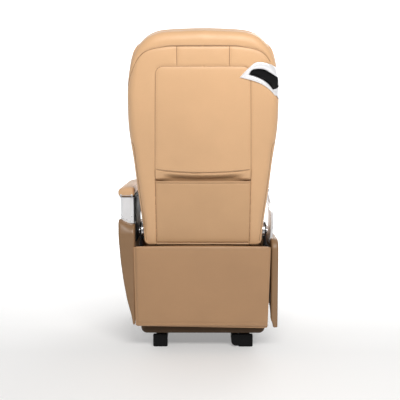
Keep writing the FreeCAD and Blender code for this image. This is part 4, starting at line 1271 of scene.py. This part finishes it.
def head_form():
    sections = []
    for t in np.linspace(HEAD_LOW, HEAD_HIGH, 22):
        wide = np.interp(t + 8.0 * ease(t, 690, 745), SIDE[:, 1], SIDE[:, 0]) - 12
        end = min(ease(t, HEAD_LOW - 22, HEAD_LOW + 22), 1 - ease(t, HEAD_HIGH - 34, HEAD_HIGH + 18))
        x = np.linspace(-wide, wide, 29)
        dish = 8.0 * np.cos(np.clip(x / 120, -1, 1) * math.pi / 2) ** 2
        corner = 26 * (np.clip((np.abs(x) - wide + 34) / 34, 0, 1)) ** 2
        front = as_points(x, -30 - 38 * end + dish + corner, t)
        sections.append(leaned(np.vstack([front, as_points(x[::-1], -20.0, t)])))
    return loft(sections)


def leg_and_arm_pads():
    lo, hi = box_mm("leg_pad")
    behind = (hi[1] - 12) * MM
    form = block(lo + (4, 11, 4), hi - (4, 3, 4), 15)
    leg = stuffed("leg_rest_pad", form, "leg_rest", "leg_pad", OUT, cap=11, firm=lambda p: p[:, 1] > behind)
    press_in(leg, [across(208, z * 1000) for z in LEG_ROWS], 6.0, CHANNEL, OUT, from_front)
    cords = [row_across(0.203, -0.5, z) for z in LEG_ROWS]
    welts("leg_welts", leg, cords, "leg_rest", toward=(0, 1, 0))
    rows = [c + np.array([0, 0, o]) for c in cords for o in SEW]
    stitches("leg_stitches", leg, rows, "leg_rest", toward=(0, 1, 0))
    lo, hi = box_mm("arm_left_pad")
    edges = (lo[0] + 8, hi[0] - 8)
    form = left_arm_form(lo, hi)
    left = stuffed("arm_pad_left", form, "arm_left", "arm_left_pad", UP, cap=5, voxel=4.5, pressure=3.0)
    rim = [np.array([(x, lo[1] + 12), (x, hi[1] - 10)]) for x in edges]
    press_in(left, rim, 1.6, 2.4, UP, from_above, broad=0.2)
    cords = [row_along(x * MM, lo[1] * MM + 0.012, hi[1] * MM - 0.012, ARM_TOP) for x in edges]
    welts("arm_left_welts", left, cords, "arm_left", 0.9, -0.0001)
    lo, hi = box_mm("arm_right_pad")
    form = block(lo + (4, 4, 4), hi - (4, 4, 5), 13)
    right = stuffed("arm_pad_right", form, "arm_right", "arm_right_pad", UP, cap=4, voxel=4.5, pressure=3.0)
    middle = (lo[0] + hi[0]) * 0.0005
    cord = [row_along(middle, lo[1] * MM + 0.012, hi[1] * MM - 0.016, ARM_TOP)]
    welts("arm_right_welt", right, cord, "arm_right", 0.9, -0.0002)


def left_arm_form(lo, hi):
    """The lid's padding: a slim wedge, lower at its outer edge, with a rounded nose."""
    bottom = 589.0
    mesh = block((lo[0] + 1, lo[1] + 3, bottom), (hi[0], hi[1], hi[2] - 3), 9)
    for v in mesh.vertices:
        x, y, z = (c * 1000 for c in v.co)
        high = (z - bottom) / (hi[2] - bottom)
        v.co.z -= MM * 9.0 * high * ease(x, lo[0] + 12, hi[0])
        v.co.z += MM * 6.0 * (1 - high) * ease(-y, -lo[1] - 90, -lo[1])
    return mesh


def main():
    add_camera()
    add_floor()
    add_studio()
    cover = back_cover()
    scoop_lining()
    panel = pocket_panel()
    sew_back(cover, panel)
    shoulder_bezel()
    rear_panel()
    side_covers()
    seat_cushions()
    back_cushions()
    leg_and_arm_pads()
    dress_hard_nodes()


main()
